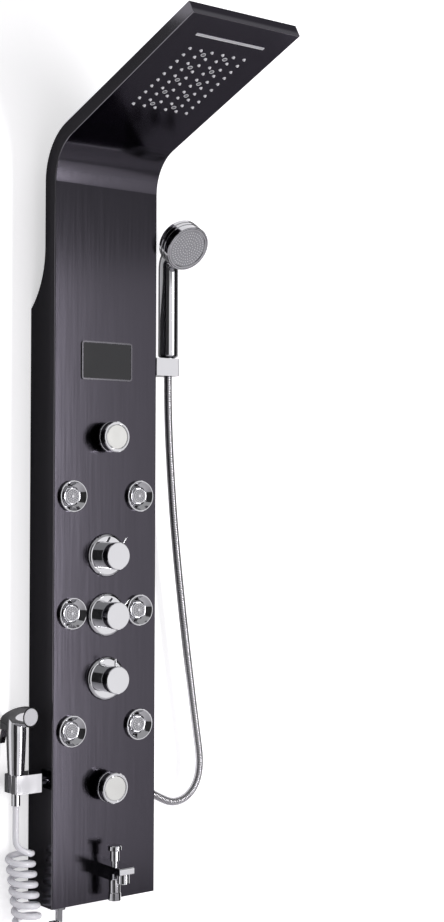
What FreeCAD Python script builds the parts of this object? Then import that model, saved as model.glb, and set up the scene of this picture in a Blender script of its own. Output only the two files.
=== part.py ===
import FreeCAD, Part
import math
import os

V = FreeCAD.Vector

# Shower panel column. Millimetres. X runs along the panel's width, +Y into the wall, +Z up.
# Heights below are measured from the column's lower edge; emit() moves every solid down so that
# the origin lies where the upper wall bracket meets the wall.

# ---- folded housing ----
SHEET = 1.5
WIDTH = 200.0
DEPTH = 73.0
BRACKET_Z = 900.0
LOWER_BRACKET_Z = 118.0
FACE_CORNER_Z = 1212.6
ARM_ANGLE = 20.4
UNDERSIDE_LENGTH = 391.0
FRONT_HEIGHT = 21.5
END_LEAN = 9.0
ARM_TOP_ANGLE = 19.6
FACE_BEND_R = 70.0
BACK_BEND_R = 90.0
NECK_DEPTH = 30.0
FLARE_TOP_DROP = 152.6
FLARE_R = 129.0
FOLD_R = 2.0
RETURN_FLANGE = 12.0
RUN_GAP = 0.05

# ---- rain head ----
NOZZLE_COLUMNS = 6
NOZZLE_ROWS = 10
NOZZLE_PITCH_X = 20.4
NOZZLE_PITCH_ARM = 17.3
NOZZLE_R = 2.1
NOZZLE_HEIGHT = 2.2
NOZZLE_SIDES = 8
NOZZLE_TAPER = 0.75
HEAD_CENTRE = 234.9
CHAMBER_WIDTH = 132.0
CHAMBER_LENGTH = 190.0
CHAMBER_HEIGHT = 13.0
LENS_R = 3.2
LENS_PROUD = 0.6
LENS_ROWS = 5
FALL_CENTRE = 346.6
FALL_LENGTH = 127.0
FALL_WIDTH = 5.5
FALL_WALL = 1.0
FALL_PROUD = 0.8
FALL_CHAMBER_LENGTH = 19.0

# ---- display ----
DISPLAY_WIDTH = 98.6
DISPLAY_HEIGHT = 63.0
DISPLAY_Z = 878.9
DISPLAY_FRAME = 2.6
DISPLAY_PROUD = 2.2
DISPLAY_CORNER_R = 5.0
DISPLAY_GLASS = 1.6
MODULE_DEPTH = 16.0

# ---- body jets ----
JET_INSET = 34.8
JET_Z = (658.2, 469.4, 280.6)
JET_RIM_R = 25.8
JET_RIM_HEIGHT = 6.0
JET_LIP = 2.0
JET_BALL_R = 15.0
JET_BALL_DEPTH = -7.0
JET_FACE_R = 12.0
JET_TAIL_R = 19.0
JET_TAIL_LENGTH = 20.0
JET_BUTTON_R = 2.5
JET_BODY_HALF = 19.0
JET_PIPE_R = 6.0
JET_PIPE_SETBACK = 0.7
NUT_THICKNESS = 5.0

# ---- valves with cylinder knobs ----
VALVE_Z = (561.5, 464.6, 360.9)
PIN_ANGLES = (34.0, 45.0, 0.0)
FLANGE_R = 35.5
FLANGE_HEIGHT = 6.5
SLEEVE_R = 21.5
SLEEVE_TOP = 24.0
KNOB_R = 22.2
KNOB_LENGTH = 13.3
KNOB_GAP = 0.5
KNOB_EDGE = 1.0
PIN_R = 1.9
PIN_TIP = 34.5
SPINDLE_R = 5.0
VALVE_BODY_R = 17.0
VALVE_NECK_STEP = 3.0

# ---- dial knobs ----
DIAL_Z = (754.5, 186.4)
DIAL_R = 25.0
DIAL_STANDOFF = 12.0
DIAL_THICKNESS = 20.0
DIAL_RING = 3.5
DIAL_GROOVE = 0.8
DIAL_SPINDLE_R = 4.0
DIAL_COLLAR_R = 10.0

# ---- water ways inside the column ----
MANIFOLD_WIDTH = 24.0
MANIFOLD_BACK = 22.0
MANIFOLD_DEPTH = 24.0
MANIFOLD_BOTTOM = 36.0
MANIFOLD_TOP = 800.0
INLET_INSET = 28.0
INLET_Z = 705.0
INLET_R = 10.48
INLET_TUBE_R = 8.0
INLET_PROUD = 3.0
INLET_THREAD_LENGTH = 12.0
INLET_BORE_R = 7.5
RISER_R = 5.5
PIPE_WALL = 1.0

# ---- wall brackets ----
BRACKET_WIDTH = 120.0
BRACKET_PLATE = 2.0
BRACKET_DROP = 14.0
BRACKET_RISE = 14.0
HOOK_REACH = 12.0
HOOK_HEIGHT = 16.0
SCREW_PITCH = 80.0
SCREW_HOLE_R = 3.25
RAIL_DROP = 8.0

# ---- tub spout ----
SPOUT_HALF_WIDTH = 14.0
SPOUT_REACH = 65.5
SPOUT_BOTTOM = 42.0
SPOUT_TOP = 64.3
SPOUT_TIP_HEIGHT = 11.0
SPOUT_STEP = 44.0
SPOUT_ROUND = 1.5
AERATOR_R = 10.0
AERATOR_OUT = 55.0
AERATOR_BOTTOM = 38.0
OUTLET_OUT = 30.3
OUTLET_R = 9.6
OUTLET_THREAD_R = 10.48
OUTLET_THREAD_LENGTH = 12.0
OUTLET_BOTTOM = 7.0
DIVERTER_ROD_R = 5.5
DIVERTER_BARREL_R = 7.8
DIVERTER_CAP_R = 11.5
DIVERTER_BARREL_Z = 70.5
DIVERTER_CAP_Z = 87.0
DIVERTER_TOP_Z = 95.0
DIVERTER_LIFT = 10.0
SPOUT_TAIL_R = 11.0

# ---- clips on the flanks ----
CLIP_STANDOFF = 11.0
CLIP_WIDTH = 47.5
CLIP_DEPTH = 37.0
CLIP_HEIGHT = 29.8
CLIP_EDGE = 2.0
CLIP_BORE_TOP_R = 11.0
CLIP_BORE_BOTTOM_R = 9.2
CLIP_SLOT = 10.0
CLIP_BORE_INSET = 11.0
HOLD_Y = -40.5
RIGHT_CLIP_Z = 862.0
LEFT_CLIP_Z = 186.0
STEM_R = 7.0
STEM_SHANK_R = 4.0

# ---- hand shower ----
HANDLE_R = 17.0
HANDLE_LENGTH = 153.0
HEAD_R = 39.5
HEAD_DEPTH = 32.5
HEAD_TILT = 32.6
HEAD_FACE_AHEAD = 54.8
HEAD_FACE_ABOVE = 29.4
HEAD_RING_R = 33.0
HEAD_RING_PROUD = 1.5
HEAD_GROOVE = 0.9
HEAD_BACK_R = 31.0
NECK_RISE = 16.0
NECK_SHIFT = 4.0
HANDLE_CLEAR = 1.2
NUT_TIP_R = 8.0

# ---- hose of the hand shower ----
HOSE_R = 7.0
HOSE_OUTLET_Z = 165.3
HOSE_OUTLET_Y = -38.0
HOSE_OUTLET_TILT = 30.0
HOSE_OUTLET_BOSS_R = 14.0
HOSE_OUTLET_BOSS = 5.0
HOSE_OUTLET_REACH = 6.0
HOSE_NUT_LENGTH = 16.0
HOSE_NUT_R = 9.5

# ---- sprayer ----
SPRAYER_YAW = 8.0
SPRAYER_HANDLE_R = 16.0
SPRAYER_FOOT_R = 13.2
SPRAYER_SHOULDER = 67.0
SPRAYER_HEAD_ABOVE = 93.0
SPRAYER_HEAD_R = 16.2
SPRAYER_HEAD_OUT = 37.0
SPRAYER_REAR_OUT = 29.5
SPRAYER_REAR_R = 8.0
SPRAYER_REAR_ABOVE = 83.0
SPRAYER_FACE_R = 13.8
TRIGGER_PIVOT_OUT = 29.0
TRIGGER_PIVOT_ABOVE = 71.0
TRIGGER_WIDTH = 13.0
TRIGGER_LENGTH = 28.0
TRIGGER_THICKNESS = 4.0
TRIGGER_LEAN = 16.0
TRIGGER_PIN_R = 1.5
TRIGGER_EAR = 3.0

# ---- coiled hose of the sprayer ----
COIL_TUBE_R = 5.0
COIL_R = 19.5
COIL_CURLS = 7
COIL_LEAD = 94.0
COIL_TOP_SHIFT = 7.0
COIL_BOTTOM_SHIFT = 23.0
COIL_BOTTOM_Z = -26.0
COIL_SLEEVE_R = 7.0
COIL_SLEEVE_LENGTH = 20.0
SPRAYER_OUTLET_INSET = 22.0
SPRAYER_OUTLET_R = 8.0
SPRAYER_OUTLET_REACH = 16.0
SPRAYER_OUTLET_DROP = 3.0
SPRAYER_OUTLET_NUT = 8.0
SPRAYER_COLLAR_R = 11.0
SPRAYER_COLLAR = 4.0

# ---- clearance and places that follow from the sizes above ----
CLEAR = 0.3
FRONT_Y = -DEPTH
BACK_OF_FACE = FRONT_Y + SHEET
HALF = WIDTH / 2
NECK_BACK = FRONT_Y + NECK_DEPTH
FLARE_TOP_Z = FACE_CORNER_Z - FLARE_TOP_DROP
JET_X = HALF - JET_INSET
JET_PIPE_Y = -MANIFOLD_BACK - MANIFOLD_DEPTH + JET_PIPE_R + JET_PIPE_SETBACK
JET_BODY_LENGTH = JET_PIPE_Y + JET_PIPE_R + CLEAR - FRONT_Y - JET_TAIL_LENGTH
INLET_X = HALF - INLET_INSET
CLIP_INNER = HALF + CLIP_STANDOFF
CLIP_OUTER = CLIP_INNER + CLIP_WIDTH
CLIP_FRONT = CLIP_DEPTH / 2 - HOLD_Y
HOLD_X = CLIP_OUTER - CLIP_BORE_INSET
HANDLE_FOOT = RIGHT_CLIP_Z + CLIP_HEIGHT + HANDLE_CLEAR
HANDLE_TOP = HANDLE_FOOT + HANDLE_LENGTH
HEAD_FACE_Y = HOLD_Y - HEAD_FACE_AHEAD
HEAD_FACE_Z = HANDLE_TOP + HEAD_FACE_ABOVE
SPRAYER_FOOT = LEFT_CLIP_Z + CLIP_HEIGHT + HANDLE_CLEAR
SPRAYER_SHOULDER_Z = SPRAYER_FOOT + SPRAYER_SHOULDER
SPRAYER_HEAD_Z = SPRAYER_FOOT + SPRAYER_HEAD_ABOVE
SPRAYER_REAR_Z = SPRAYER_FOOT + SPRAYER_REAR_ABOVE
TRIGGER_PIVOT_Z = SPRAYER_FOOT + TRIGGER_PIVOT_ABOVE
COIL_TOP = (COIL_TOP_SHIFT - HOLD_X, HOLD_Y, LEFT_CLIP_Z - COIL_LEAD)
COIL_BOTTOM = (COIL_BOTTOM_SHIFT - HOLD_X, HOLD_Y, COIL_BOTTOM_Z)
SPRAYER_OUTLET_X = SPRAYER_OUTLET_INSET - HALF
SPRAYER_OUTLET_Y = HOLD_Y - COIL_R
SPRAYER_OUTLET_Z = COIL_BOTTOM_Z - SPRAYER_OUTLET_DROP
UP = V(0, 0, 1)
OUT = V(0, -1, 0)


# ---- helpers ----
def emit(name, shapes):
    """Write one named node, moved so that the origin is at the upper bracket's seat on the wall."""
    solids = shapes if isinstance(shapes, list) else [shapes]
    moved = []
    for solid in solids:
        piece = solid.copy()
        piece.translate(V(0, 0, -BRACKET_Z))
        moved.append(piece)
    shape = moved[0] if len(moved) == 1 else Part.makeCompound(moved)
    shape.exportStep("parts/" + name + ".step")


def box(x0, x1, y0, y1, z0, z1):
    return Part.makeBox(x1 - x0, y1 - y0, z1 - z0, V(x0, y0, z0))


def rod(radius, start, direction, length):
    return Part.makeCylinder(radius, length, V(*start), direction)


def outline(points):
    """Closed wire in the XZ plane. A pair of points is the middle and the end of an arc."""
    first = V(points[0][0], 0, points[0][1])
    last = first
    edges = []
    for item in list(points[1:]) + [points[0]]:
        if isinstance(item[0], tuple):
            middle = V(item[0][0], 0, item[0][1])
            end = V(item[1][0], 0, item[1][1])
            edges.append(Part.Arc(last, middle, end).toShape())
        else:
            end = V(item[0], 0, item[1])
            if end.distanceToPoint(last) > 1e-6:
                edges.append(Part.LineSegment(last, end).toShape())
        last = end
    return Part.Wire(edges)


def turned(points, start, direction):
    """Solid of revolution: points are (radius, height along the direction from start)."""
    solid = Part.Face(outline(points)).revolve(V(0, 0, 0), UP, 360)
    solid.Placement = FreeCAD.Placement(V(*start), FreeCAD.Rotation(UP, direction))
    return solid


def side_wire(points, radii):
    """Wire in the YZ plane along (y, z) corners, each inner corner rounded by a tangent arc."""
    edges = []
    last = V(0, *points[0])
    for i in range(1, len(points) - 1):
        corner = V(0, *points[i])
        before = V(0, *points[i - 1]) - corner
        after = V(0, *points[i + 1]) - corner
        before.normalize()
        after.normalize()
        radius = radii[i]
        if radius > 0:
            half = before.getAngle(after) / 2
            run = radius / math.tan(half)
            inward = before + after
            inward.normalize()
            middle = corner + inward * (radius / math.sin(half) - radius)
            enter = corner + before * run
            leave = corner + after * run
            if enter.distanceToPoint(last) > 1e-3:
                edges.append(Part.LineSegment(last, enter).toShape())
                last = enter
            edges.append(Part.Arc(last, middle, leave).toShape())
            last = leave
        else:
            edges.append(Part.LineSegment(last, corner).toShape())
            last = corner
    end = V(0, *points[-1])
    if end.distanceToPoint(last) > 1e-3:
        edges.append(Part.LineSegment(last, end).toShape())
    return edges


def offset_corners(points, side):
    """Corners of the path moved sideways, to its left where side is positive."""
    moved = []
    for i, (y, z) in enumerate(points):
        normals = []
        for a, b in ((i - 1, i), (i, i + 1)):
            if a >= 0 and b < len(points):
                dy = points[b][0] - points[a][0]
                dz = points[b][1] - points[a][1]
                size = math.hypot(dy, dz)
                normals.append((-dz / size, dy / size))
        ny = sum(n[0] for n in normals)
        nz = sum(n[1] for n in normals)
        scale = side / (ny * normals[0][0] + nz * normals[0][1])
        moved.append((y + ny * scale, z + nz * scale))
    return moved


def bent_strip(points, radii, side, x0, x1):
    """Folded sheet: the path's corners keep radii on the given face, the other face is parallel."""
    inner_radii = list(radii)
    for i in range(1, len(points) - 1):
        ay = points[i][0] - points[i - 1][0]
        az = points[i][1] - points[i - 1][1]
        by = points[i + 1][0] - points[i][0]
        bz = points[i + 1][1] - points[i][1]
        left_turn = ay * bz - az * by > 0
        if radii[i] > 0:
            inner_radii[i] = radii[i] - side if left_turn else radii[i] + side
    inner = offset_corners(points, side)
    face_edges = side_wire(points, radii)
    back_edges = side_wire(inner, inner_radii)
    close_start = Part.LineSegment(V(0, *points[0]), V(0, *inner[0])).toShape()
    close_end = Part.LineSegment(V(0, *points[-1]), V(0, *inner[-1])).toShape()
    wire = Part.Wire(Part.__sortEdges__(face_edges + [close_end] + back_edges + [close_start]))
    solid = Part.Face(wire).extrude(V(x1 - x0, 0, 0))
    solid.translate(V(x0, 0, 0))
    return solid


def joined(first, others):
    return first.fuse(others).removeSplitter()


def arm_point(along, above, x=0.0):
    """Point of the arm: along its underside from the face corner, and above the underside."""
    angle = math.radians(ARM_ANGLE)
    y = FRONT_Y - along * math.cos(angle) + above * math.sin(angle)
    z = FACE_CORNER_Z + along * math.sin(angle) + above * math.cos(angle)
    return V(x, y, z)


def to_arm(solid):
    """Move a solid from arm axes (X across, -Y along the arm, Z off the underside) to its place."""
    solid.Placement = FreeCAD.Placement(arm_point(0, 0), FreeCAD.Rotation(V(1, 0, 0), -ARM_ANGLE))
    return solid


def arm_box(half_width, start, end, low, high):
    return to_arm(Part.makeBox(2 * half_width, end - start, high - low, V(-half_width, -end, low)))


def rounded_plate(width, height, thickness, corner, centre_z, y_back):
    """Plate with rounded corners, lying on the panel's face."""
    low = centre_z - height / 2
    plate = box(-width / 2, width / 2, y_back - thickness, y_back, low, low + height)
    upright = [e for e in plate.Edges if abs(e.tangentAt(e.FirstParameter).y) > 0.9]
    return plate.makeFillet(corner, upright)


# ---- routes of tubes ----
def tangent_arc(start, tangent, end):
    """Arc from start to end that leaves along the tangent, or a line where they agree."""
    chord = end - start
    length = chord.Length
    unit = V(chord).normalize()
    across = tangent - unit * tangent.dot(unit)
    if across.Length < 1e-6:
        return Part.LineSegment(start, end).toShape(), float("inf")
    angle = tangent.getAngle(unit)
    across.normalize()
    middle = (start + end) * 0.5 + across * (length / 2 * math.tan(angle / 2))
    return Part.Arc(start, middle, end).toShape(), length / (2 * math.sin(angle))


def biarc(start, start_dir, end, end_dir):
    """Two arcs that join two points with given directions."""
    v = end - start
    t = start_dir + end_dir
    spread = 2 * (1 - start_dir.dot(end_dir))
    dot = v.dot(t)
    if spread < 1e-9:
        reach = v.dot(v) / (4 * v.dot(end_dir))
    else:
        reach = (-dot + math.sqrt(dot * dot + spread * v.dot(v))) / spread
    join = (start + start_dir * reach + end - end_dir * reach) * 0.5
    first, r1 = tangent_arc(start, start_dir, join)
    second, r2 = tangent_arc(end, end_dir * -1, join)
    return [first, second], min(r1, r2)


def smooth_route(points, share=0.45):
    """Edges along the points: straight runs, with a tangent arc at each inner point."""
    edges = []
    radii = []
    last = V(*points[0])
    for i in range(1, len(points) - 1):
        corner = V(*points[i])
        before = V(*points[i - 1]) - corner
        after = V(*points[i + 1]) - corner
        shorter = min(before.Length, after.Length)
        before.normalize()
        after.normalize()
        run = share * shorter
        half = before.getAngle(after) / 2
        radius = run * math.tan(half)
        inward = before + after
        inward.normalize()
        enter = corner + before * run
        leave = corner + after * run
        middle = corner + inward * (radius / math.sin(half) - radius)
        edges.append(Part.LineSegment(last, enter).toShape())
        edges.append(Part.Arc(enter, middle, leave).toShape())
        last = leave
        radii.append(round(radius, 1))
    edges.append(Part.LineSegment(last, V(*points[-1])).toShape())
    return edges, radii


def swept(edges, radius):
    """Round tube along a wire of lines and arcs that are tangent to each other."""
    wire = Part.Wire(edges)
    start = edges[0].Vertexes[0].Point
    heading = edges[0].tangentAt(edges[0].FirstParameter)
    ring = Part.Wire(Part.Circle(start, heading, radius).toShape())
    pipe = Part.BRepOffsetAPI.MakePipeShell(wire)
    pipe.add(ring)
    pipe.build()
    pipe.makeSolid()
    return pipe.shape()


# ---- housing ----
def arm_direction(angle):
    return (-math.cos(math.radians(angle)), math.sin(math.radians(angle)))


def side_corners():
    """Corners of the housing's side outline, from the wall's foot round the front to the back."""
    ux, uz = arm_direction(ARM_ANGLE)
    front = (FRONT_Y + UNDERSIDE_LENGTH * ux, FACE_CORNER_Z + UNDERSIDE_LENGTH * uz)
    lean = math.radians(90 - ARM_ANGLE - END_LEAN)
    end_top = (front[0] + FRONT_HEIGHT * math.cos(lean), front[1] + FRONT_HEIGHT * math.sin(lean))
    tx, tz = arm_direction(ARM_TOP_ANGLE)
    back_corner = (NECK_BACK, end_top[1] + (NECK_BACK - end_top[0]) * tz / tx)
    flare_reach = -NECK_BACK
    centre_y = NECK_BACK + FLARE_R
    wall_z = FLARE_TOP_Z - math.sqrt(FLARE_R ** 2 - centre_y ** 2)
    slope = (-(FLARE_TOP_Z - wall_z) / FLARE_R, centre_y / FLARE_R)
    flare_corner = (NECK_BACK, wall_z + flare_reach * slope[1] / -slope[0])
    return front, end_top, back_corner, flare_corner, (0.0, wall_z)


def column_shell():
    front, end_top, back_corner, flare_corner, wall_top = side_corners()
    path = [(0, 0), (FRONT_Y, 0), (FRONT_Y, FACE_CORNER_Z), front, end_top]
    band = bent_strip(path, [0, 0, FACE_BEND_R, 0, 0], -SHEET, -HALF, HALF)
    closed = path + [back_corner, flare_corner, wall_top]
    radii = [0, 0, FACE_BEND_R, 0, 0, BACK_BEND_R, FLARE_R, 0]
    edges = side_wire(closed, radii)
    edges.append(Part.LineSegment(V(0, *wall_top), V(0, 0, 0)).toShape())
    flank = Part.Face(Part.Wire(Part.__sortEdges__(edges))).extrude(V(SHEET, 0, 0))
    pieces = []
    for side in (-1, 1):
        copy = flank.copy()
        copy.translate(V(-HALF if side < 0 else HALF - SHEET, 0, 0))
        pieces.append(copy)
        x0, x1 = sorted((side * (HALF - RETURN_FLANGE), side * HALF))
        pieces.append(box(x0, x1, -SHEET, 0, 0, wall_top[1] - FOLD_R))
    shell = joined(band, pieces)
    shell = shell.makeFillet(FOLD_R, long_front_edges(shell))
    return shell.cut(shell_holes())


def long_front_edges(shell):
    """Outer edges where the front face and the underside fold back into the flanks."""
    found = []
    for edge in shell.Edges:
        ends = edge.BoundBox
        if abs(abs(ends.XMin) - HALF) > 1e-6 or abs(ends.XMax - ends.XMin) > 1e-6:
            continue
        middle = edge.valueAt((edge.FirstParameter + edge.LastParameter) / 2)
        ahead = middle.y < FRONT_Y + 0.01 and edge.Length > 20
        under = (middle - arm_point(0, 0)).dot(arm_point(0, 1) - arm_point(0, 0)) < SHEET
        if ahead and under:
            found.append(edge)
    return found


def shell_holes():
    through = 4 * SHEET
    holes = []
    for z in JET_Z:
        for x in (-JET_X, JET_X):
            holes.append(rod(JET_TAIL_R + CLEAR, (x, FRONT_Y + 2 * SHEET, z), OUT, through))
    for z in VALVE_Z:
        holes.append(rod(VALVE_BODY_R - VALVE_NECK_STEP, (0, FRONT_Y + 2 * SHEET, z), OUT, through))
    for z in DIAL_Z:
        holes.append(rod(DIAL_COLLAR_R + CLEAR, (0, FRONT_Y + 2 * SHEET, z), OUT, through))
    spout_z = (SPOUT_TOP + SPOUT_BOTTOM) / 2
    holes.append(rod(SPOUT_TAIL_R + CLEAR, (0, FRONT_Y + 2 * SHEET, spout_z), OUT, through))
    half_w = DISPLAY_WIDTH / 2 - 2 * DISPLAY_FRAME
    half_h = DISPLAY_HEIGHT / 2 - 2 * DISPLAY_FRAME
    holes.append(box(-half_w, half_w, FRONT_Y - 1, FRONT_Y + 2 * SHEET,
                     DISPLAY_Z - half_h, DISPLAY_Z + half_h))
    half_s = FALL_WIDTH / 2
    holes.append(arm_box(FALL_LENGTH / 2, FALL_CENTRE - half_s, FALL_CENTRE + half_s, -1, 2 * SHEET))
    shank = STEM_SHANK_R + CLEAR
    for side, z in ((1, RIGHT_CLIP_Z), (-1, LEFT_CLIP_Z)):
        start = (side * (HALF - 2 * SHEET), HOLD_Y, z + CLIP_HEIGHT / 2)
        holes.append(rod(shank, start, V(side, 0, 0), through))
    hose_side = (HALF - 2 * SHEET, HOSE_OUTLET_Y, HOSE_OUTLET_Z)
    holes.append(rod(INLET_TUBE_R + CLEAR, hose_side, V(1, 0, 0), through))
    coil_side = (SPRAYER_OUTLET_X, SPRAYER_OUTLET_Y, 2 * SHEET)
    holes.append(rod(SPRAYER_OUTLET_R + CLEAR, coil_side, V(0, 0, -1), through))
    return holes


def arm_top_cover():
    _, end_top, back_corner, flare_corner, wall_top = side_corners()
    tx, tz = arm_direction(ARM_TOP_ANGLE)
    back_off = SHEET + CLEAR
    end = (end_top[0] - tx * back_off, end_top[1] - tz * back_off)
    path = [wall_top, flare_corner, back_corner, end]
    half = HALF - SHEET - CLEAR
    return bent_strip(path, [0, FLARE_R, BACK_BEND_R, 0], SHEET, -half, half)


# ---- wall brackets and the rails that hang on them ----
def wall_bracket(z):
    path = [(0, z - BRACKET_DROP), (0, z + BRACKET_RISE), (-HOOK_REACH, z + BRACKET_RISE),
            (-HOOK_REACH, z + BRACKET_RISE + HOOK_HEIGHT)]
    half = BRACKET_WIDTH / 2
    plate = bent_strip(path, [0, 0, 0, 0], BRACKET_PLATE, -half, half)
    holes = [rod(SCREW_HOLE_R, (x, 1, z), OUT, BRACKET_PLATE + 2)
             for x in (-SCREW_PITCH / 2, SCREW_PITCH / 2)]
    return plate.cut(holes)


def hanger_rail(z):
    """Rail between the flanks; its turned-over top edge drops behind the bracket's hook."""
    tip = z + BRACKET_RISE + HOOK_HEIGHT
    front = -HOOK_REACH - BRACKET_PLATE - CLEAR
    back = -HOOK_REACH + CLEAR
    path = [(front, z - RAIL_DROP), (front, tip + CLEAR), (back, tip + CLEAR), (back, tip - HOOK_HEIGHT / 2)]
    half = HALF - SHEET - CLEAR
    return bent_strip(path, [0, 0, 0, 0], BRACKET_PLATE, -half, half)


# ---- rain head ----
def rain_nozzles():
    nubs = []
    for row in range(NOZZLE_ROWS):
        along = HEAD_CENTRE + (row - (NOZZLE_ROWS - 1) / 2) * NOZZLE_PITCH_ARM
        for column in range(NOZZLE_COLUMNS):
            x = (column - (NOZZLE_COLUMNS - 1) / 2) * NOZZLE_PITCH_X
            rings = []
            for radius, low in ((NOZZLE_R, 0), (NOZZLE_R * NOZZLE_TAPER, -NOZZLE_HEIGHT)):
                corners = []
                for k in range(NOZZLE_SIDES + 1):
                    turn = 2 * math.pi * k / NOZZLE_SIDES
                    corners.append(V(x + radius * math.cos(turn), -along + radius * math.sin(turn), low))
                rings.append(Part.makePolygon(corners))
            nubs.append(to_arm(Part.makeLoft(rings, True, True)))
    return nubs


def rain_chamber():
    start = HEAD_CENTRE - CHAMBER_LENGTH / 2
    end = HEAD_CENTRE + CHAMBER_LENGTH / 2
    half = CHAMBER_WIDTH / 2
    low = SHEET + LENS_PROUD
    shell = arm_box(half, start, end, low, low + CHAMBER_HEIGHT)
    wall = 2 * PIPE_WALL
    return shell.cut(arm_box(half - wall, start + wall, end - wall, low + wall, low + CHAMBER_HEIGHT - wall))


def lens_places():
    places = []
    for row in range(LENS_ROWS):
        along = HEAD_CENTRE + (row - (LENS_ROWS - 1) / 2) * 2 * NOZZLE_PITCH_ARM
        for x in (-NOZZLE_PITCH_X, NOZZLE_PITCH_X):
            places.append((x, along))
    return places


def led_lenses():
    lenses = []
    for x, along in lens_places():
        lens = Part.makeCylinder(LENS_R, LENS_PROUD, V(x, -along, -LENS_PROUD))
        lenses.append(to_arm(lens))
    return lenses


def led_board():
    start = HEAD_CENTRE - CHAMBER_LENGTH / 2
    low = SHEET + LENS_PROUD + CHAMBER_HEIGHT
    return arm_box(NOZZLE_PITCH_X + 2 * LENS_R, start, start + CHAMBER_LENGTH, low, low + PIPE_WALL)


def fall_lip():
    half_x = FALL_LENGTH / 2 - CLEAR
    half_s = FALL_WIDTH / 2 - CLEAR
    outer = arm_box(half_x, FALL_CENTRE - half_s, FALL_CENTRE + half_s, -FALL_PROUD, 2 * SHEET)
    wall = FALL_WALL
    inner = arm_box(half_x - wall, FALL_CENTRE - half_s + wall, FALL_CENTRE + half_s - wall, -5, 5)
    return outer.cut(inner)


def fall_chamber():
    half = FALL_CHAMBER_LENGTH / 2
    high = 2 * SHEET + CHAMBER_HEIGHT - PIPE_WALL
    outer = arm_box(FALL_LENGTH / 2 + 2, FALL_CENTRE - half, FALL_CENTRE + half, 2 * SHEET, high)
    wall = 2 * PIPE_WALL
    inner = arm_box(FALL_LENGTH / 2 - wall, FALL_CENTRE - half + wall, FALL_CENTRE + half - wall,
                    2 * SHEET + wall, high - wall)
    slot = arm_box(FALL_LENGTH / 2 - wall, FALL_CENTRE - 1, FALL_CENTRE + 1, 0, 2 * SHEET + 2 * wall)
    return outer.cut([inner, slot])


# ---- display ----
def display_bezel():
    ring = rounded_plate(DISPLAY_WIDTH, DISPLAY_HEIGHT, DISPLAY_PROUD, DISPLAY_CORNER_R, DISPLAY_Z, FRONT_Y)
    opening = rounded_plate(DISPLAY_WIDTH - 2 * DISPLAY_FRAME, DISPLAY_HEIGHT - 2 * DISPLAY_FRAME,
                            3 * DISPLAY_PROUD, DISPLAY_CORNER_R - DISPLAY_FRAME, DISPLAY_Z,
                            FRONT_Y + DISPLAY_PROUD)
    return ring.cut(opening)


def display_glass():
    margin = 2 * (DISPLAY_FRAME + CLEAR)
    return rounded_plate(DISPLAY_WIDTH - margin, DISPLAY_HEIGHT - margin, DISPLAY_GLASS,
                         DISPLAY_CORNER_R - DISPLAY_FRAME, DISPLAY_Z, FRONT_Y)


def display_module():
    half_w = DISPLAY_WIDTH / 2 - 2 * DISPLAY_FRAME - CLEAR
    half_h = DISPLAY_HEIGHT / 2 - 2 * DISPLAY_FRAME - CLEAR
    return box(-half_w, half_w, FRONT_Y, FRONT_Y + MODULE_DEPTH, DISPLAY_Z - half_h, DISPLAY_Z + half_h)


# ---- body jets ----
def jet_rim(x, z):
    """Rim and threaded tail in one turned piece, with a round seat for the swivelling nozzle."""
    seat = JET_BALL_R + CLEAR
    mouth = JET_BALL_DEPTH + JET_BALL_R * 0.3
    mouth_r = math.sqrt(seat ** 2 - (mouth - JET_BALL_DEPTH) ** 2)
    profile = [(mouth_r, mouth), (mouth_r + 1.2, mouth + 1.6),
               ((mouth_r + 5.6, 2.4), (JET_RIM_R - JET_LIP, JET_RIM_HEIGHT)),
               (JET_RIM_R - 0.8, JET_RIM_HEIGHT), (JET_RIM_R, JET_RIM_HEIGHT - 0.8), (JET_RIM_R, 0),
               (JET_TAIL_R, 0), (JET_TAIL_R, -JET_TAIL_LENGTH), (seat, -JET_TAIL_LENGTH),
               (seat, JET_BALL_DEPTH)]
    return turned(profile, (x, FRONT_Y, z), OUT)


def jet_nozzle(x, z):
    front = math.sqrt(JET_BALL_R ** 2 - JET_FACE_R ** 2)
    back = -JET_BALL_R * 0.55
    back_r = math.sqrt(JET_BALL_R ** 2 - back ** 2)
    profile = [(0, back), (back_r, back), ((JET_BALL_R, 0), (JET_FACE_R, front)), (JET_BUTTON_R, front),
               (JET_BUTTON_R, front + 0.8), (0, front + 0.8)]
    return turned(profile, (x, FRONT_Y - JET_BALL_DEPTH, z), OUT)


def jet_body(x, z):
    """Square chamber that closes the rear of a jet."""
    front = FRONT_Y + JET_TAIL_LENGTH
    half = JET_BODY_HALF
    return box(x - half, x + half, front, front + JET_BODY_LENGTH, z - half, z + half)


def hex_nut(bore, start, direction, thickness):
    corners = []
    for k in range(7):
        turn = math.radians(60 * k)
        corners.append(V((bore + 4) * 1.1 * math.cos(turn), (bore + 4) * 1.1 * math.sin(turn), 0))
    nut = Part.Face(Part.makePolygon(corners)).extrude(V(0, 0, thickness))
    nut = nut.cut(Part.makeCylinder(bore + RUN_GAP, thickness))
    nut.Placement = FreeCAD.Placement(V(*start), FreeCAD.Rotation(UP, direction))
    return nut


def face_nut(bore, x, z):
    """Lock nut drawn up against the back of the panel's face."""
    return hex_nut(bore, (x, BACK_OF_FACE, z), V(0, 1, 0), NUT_THICKNESS)


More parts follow.
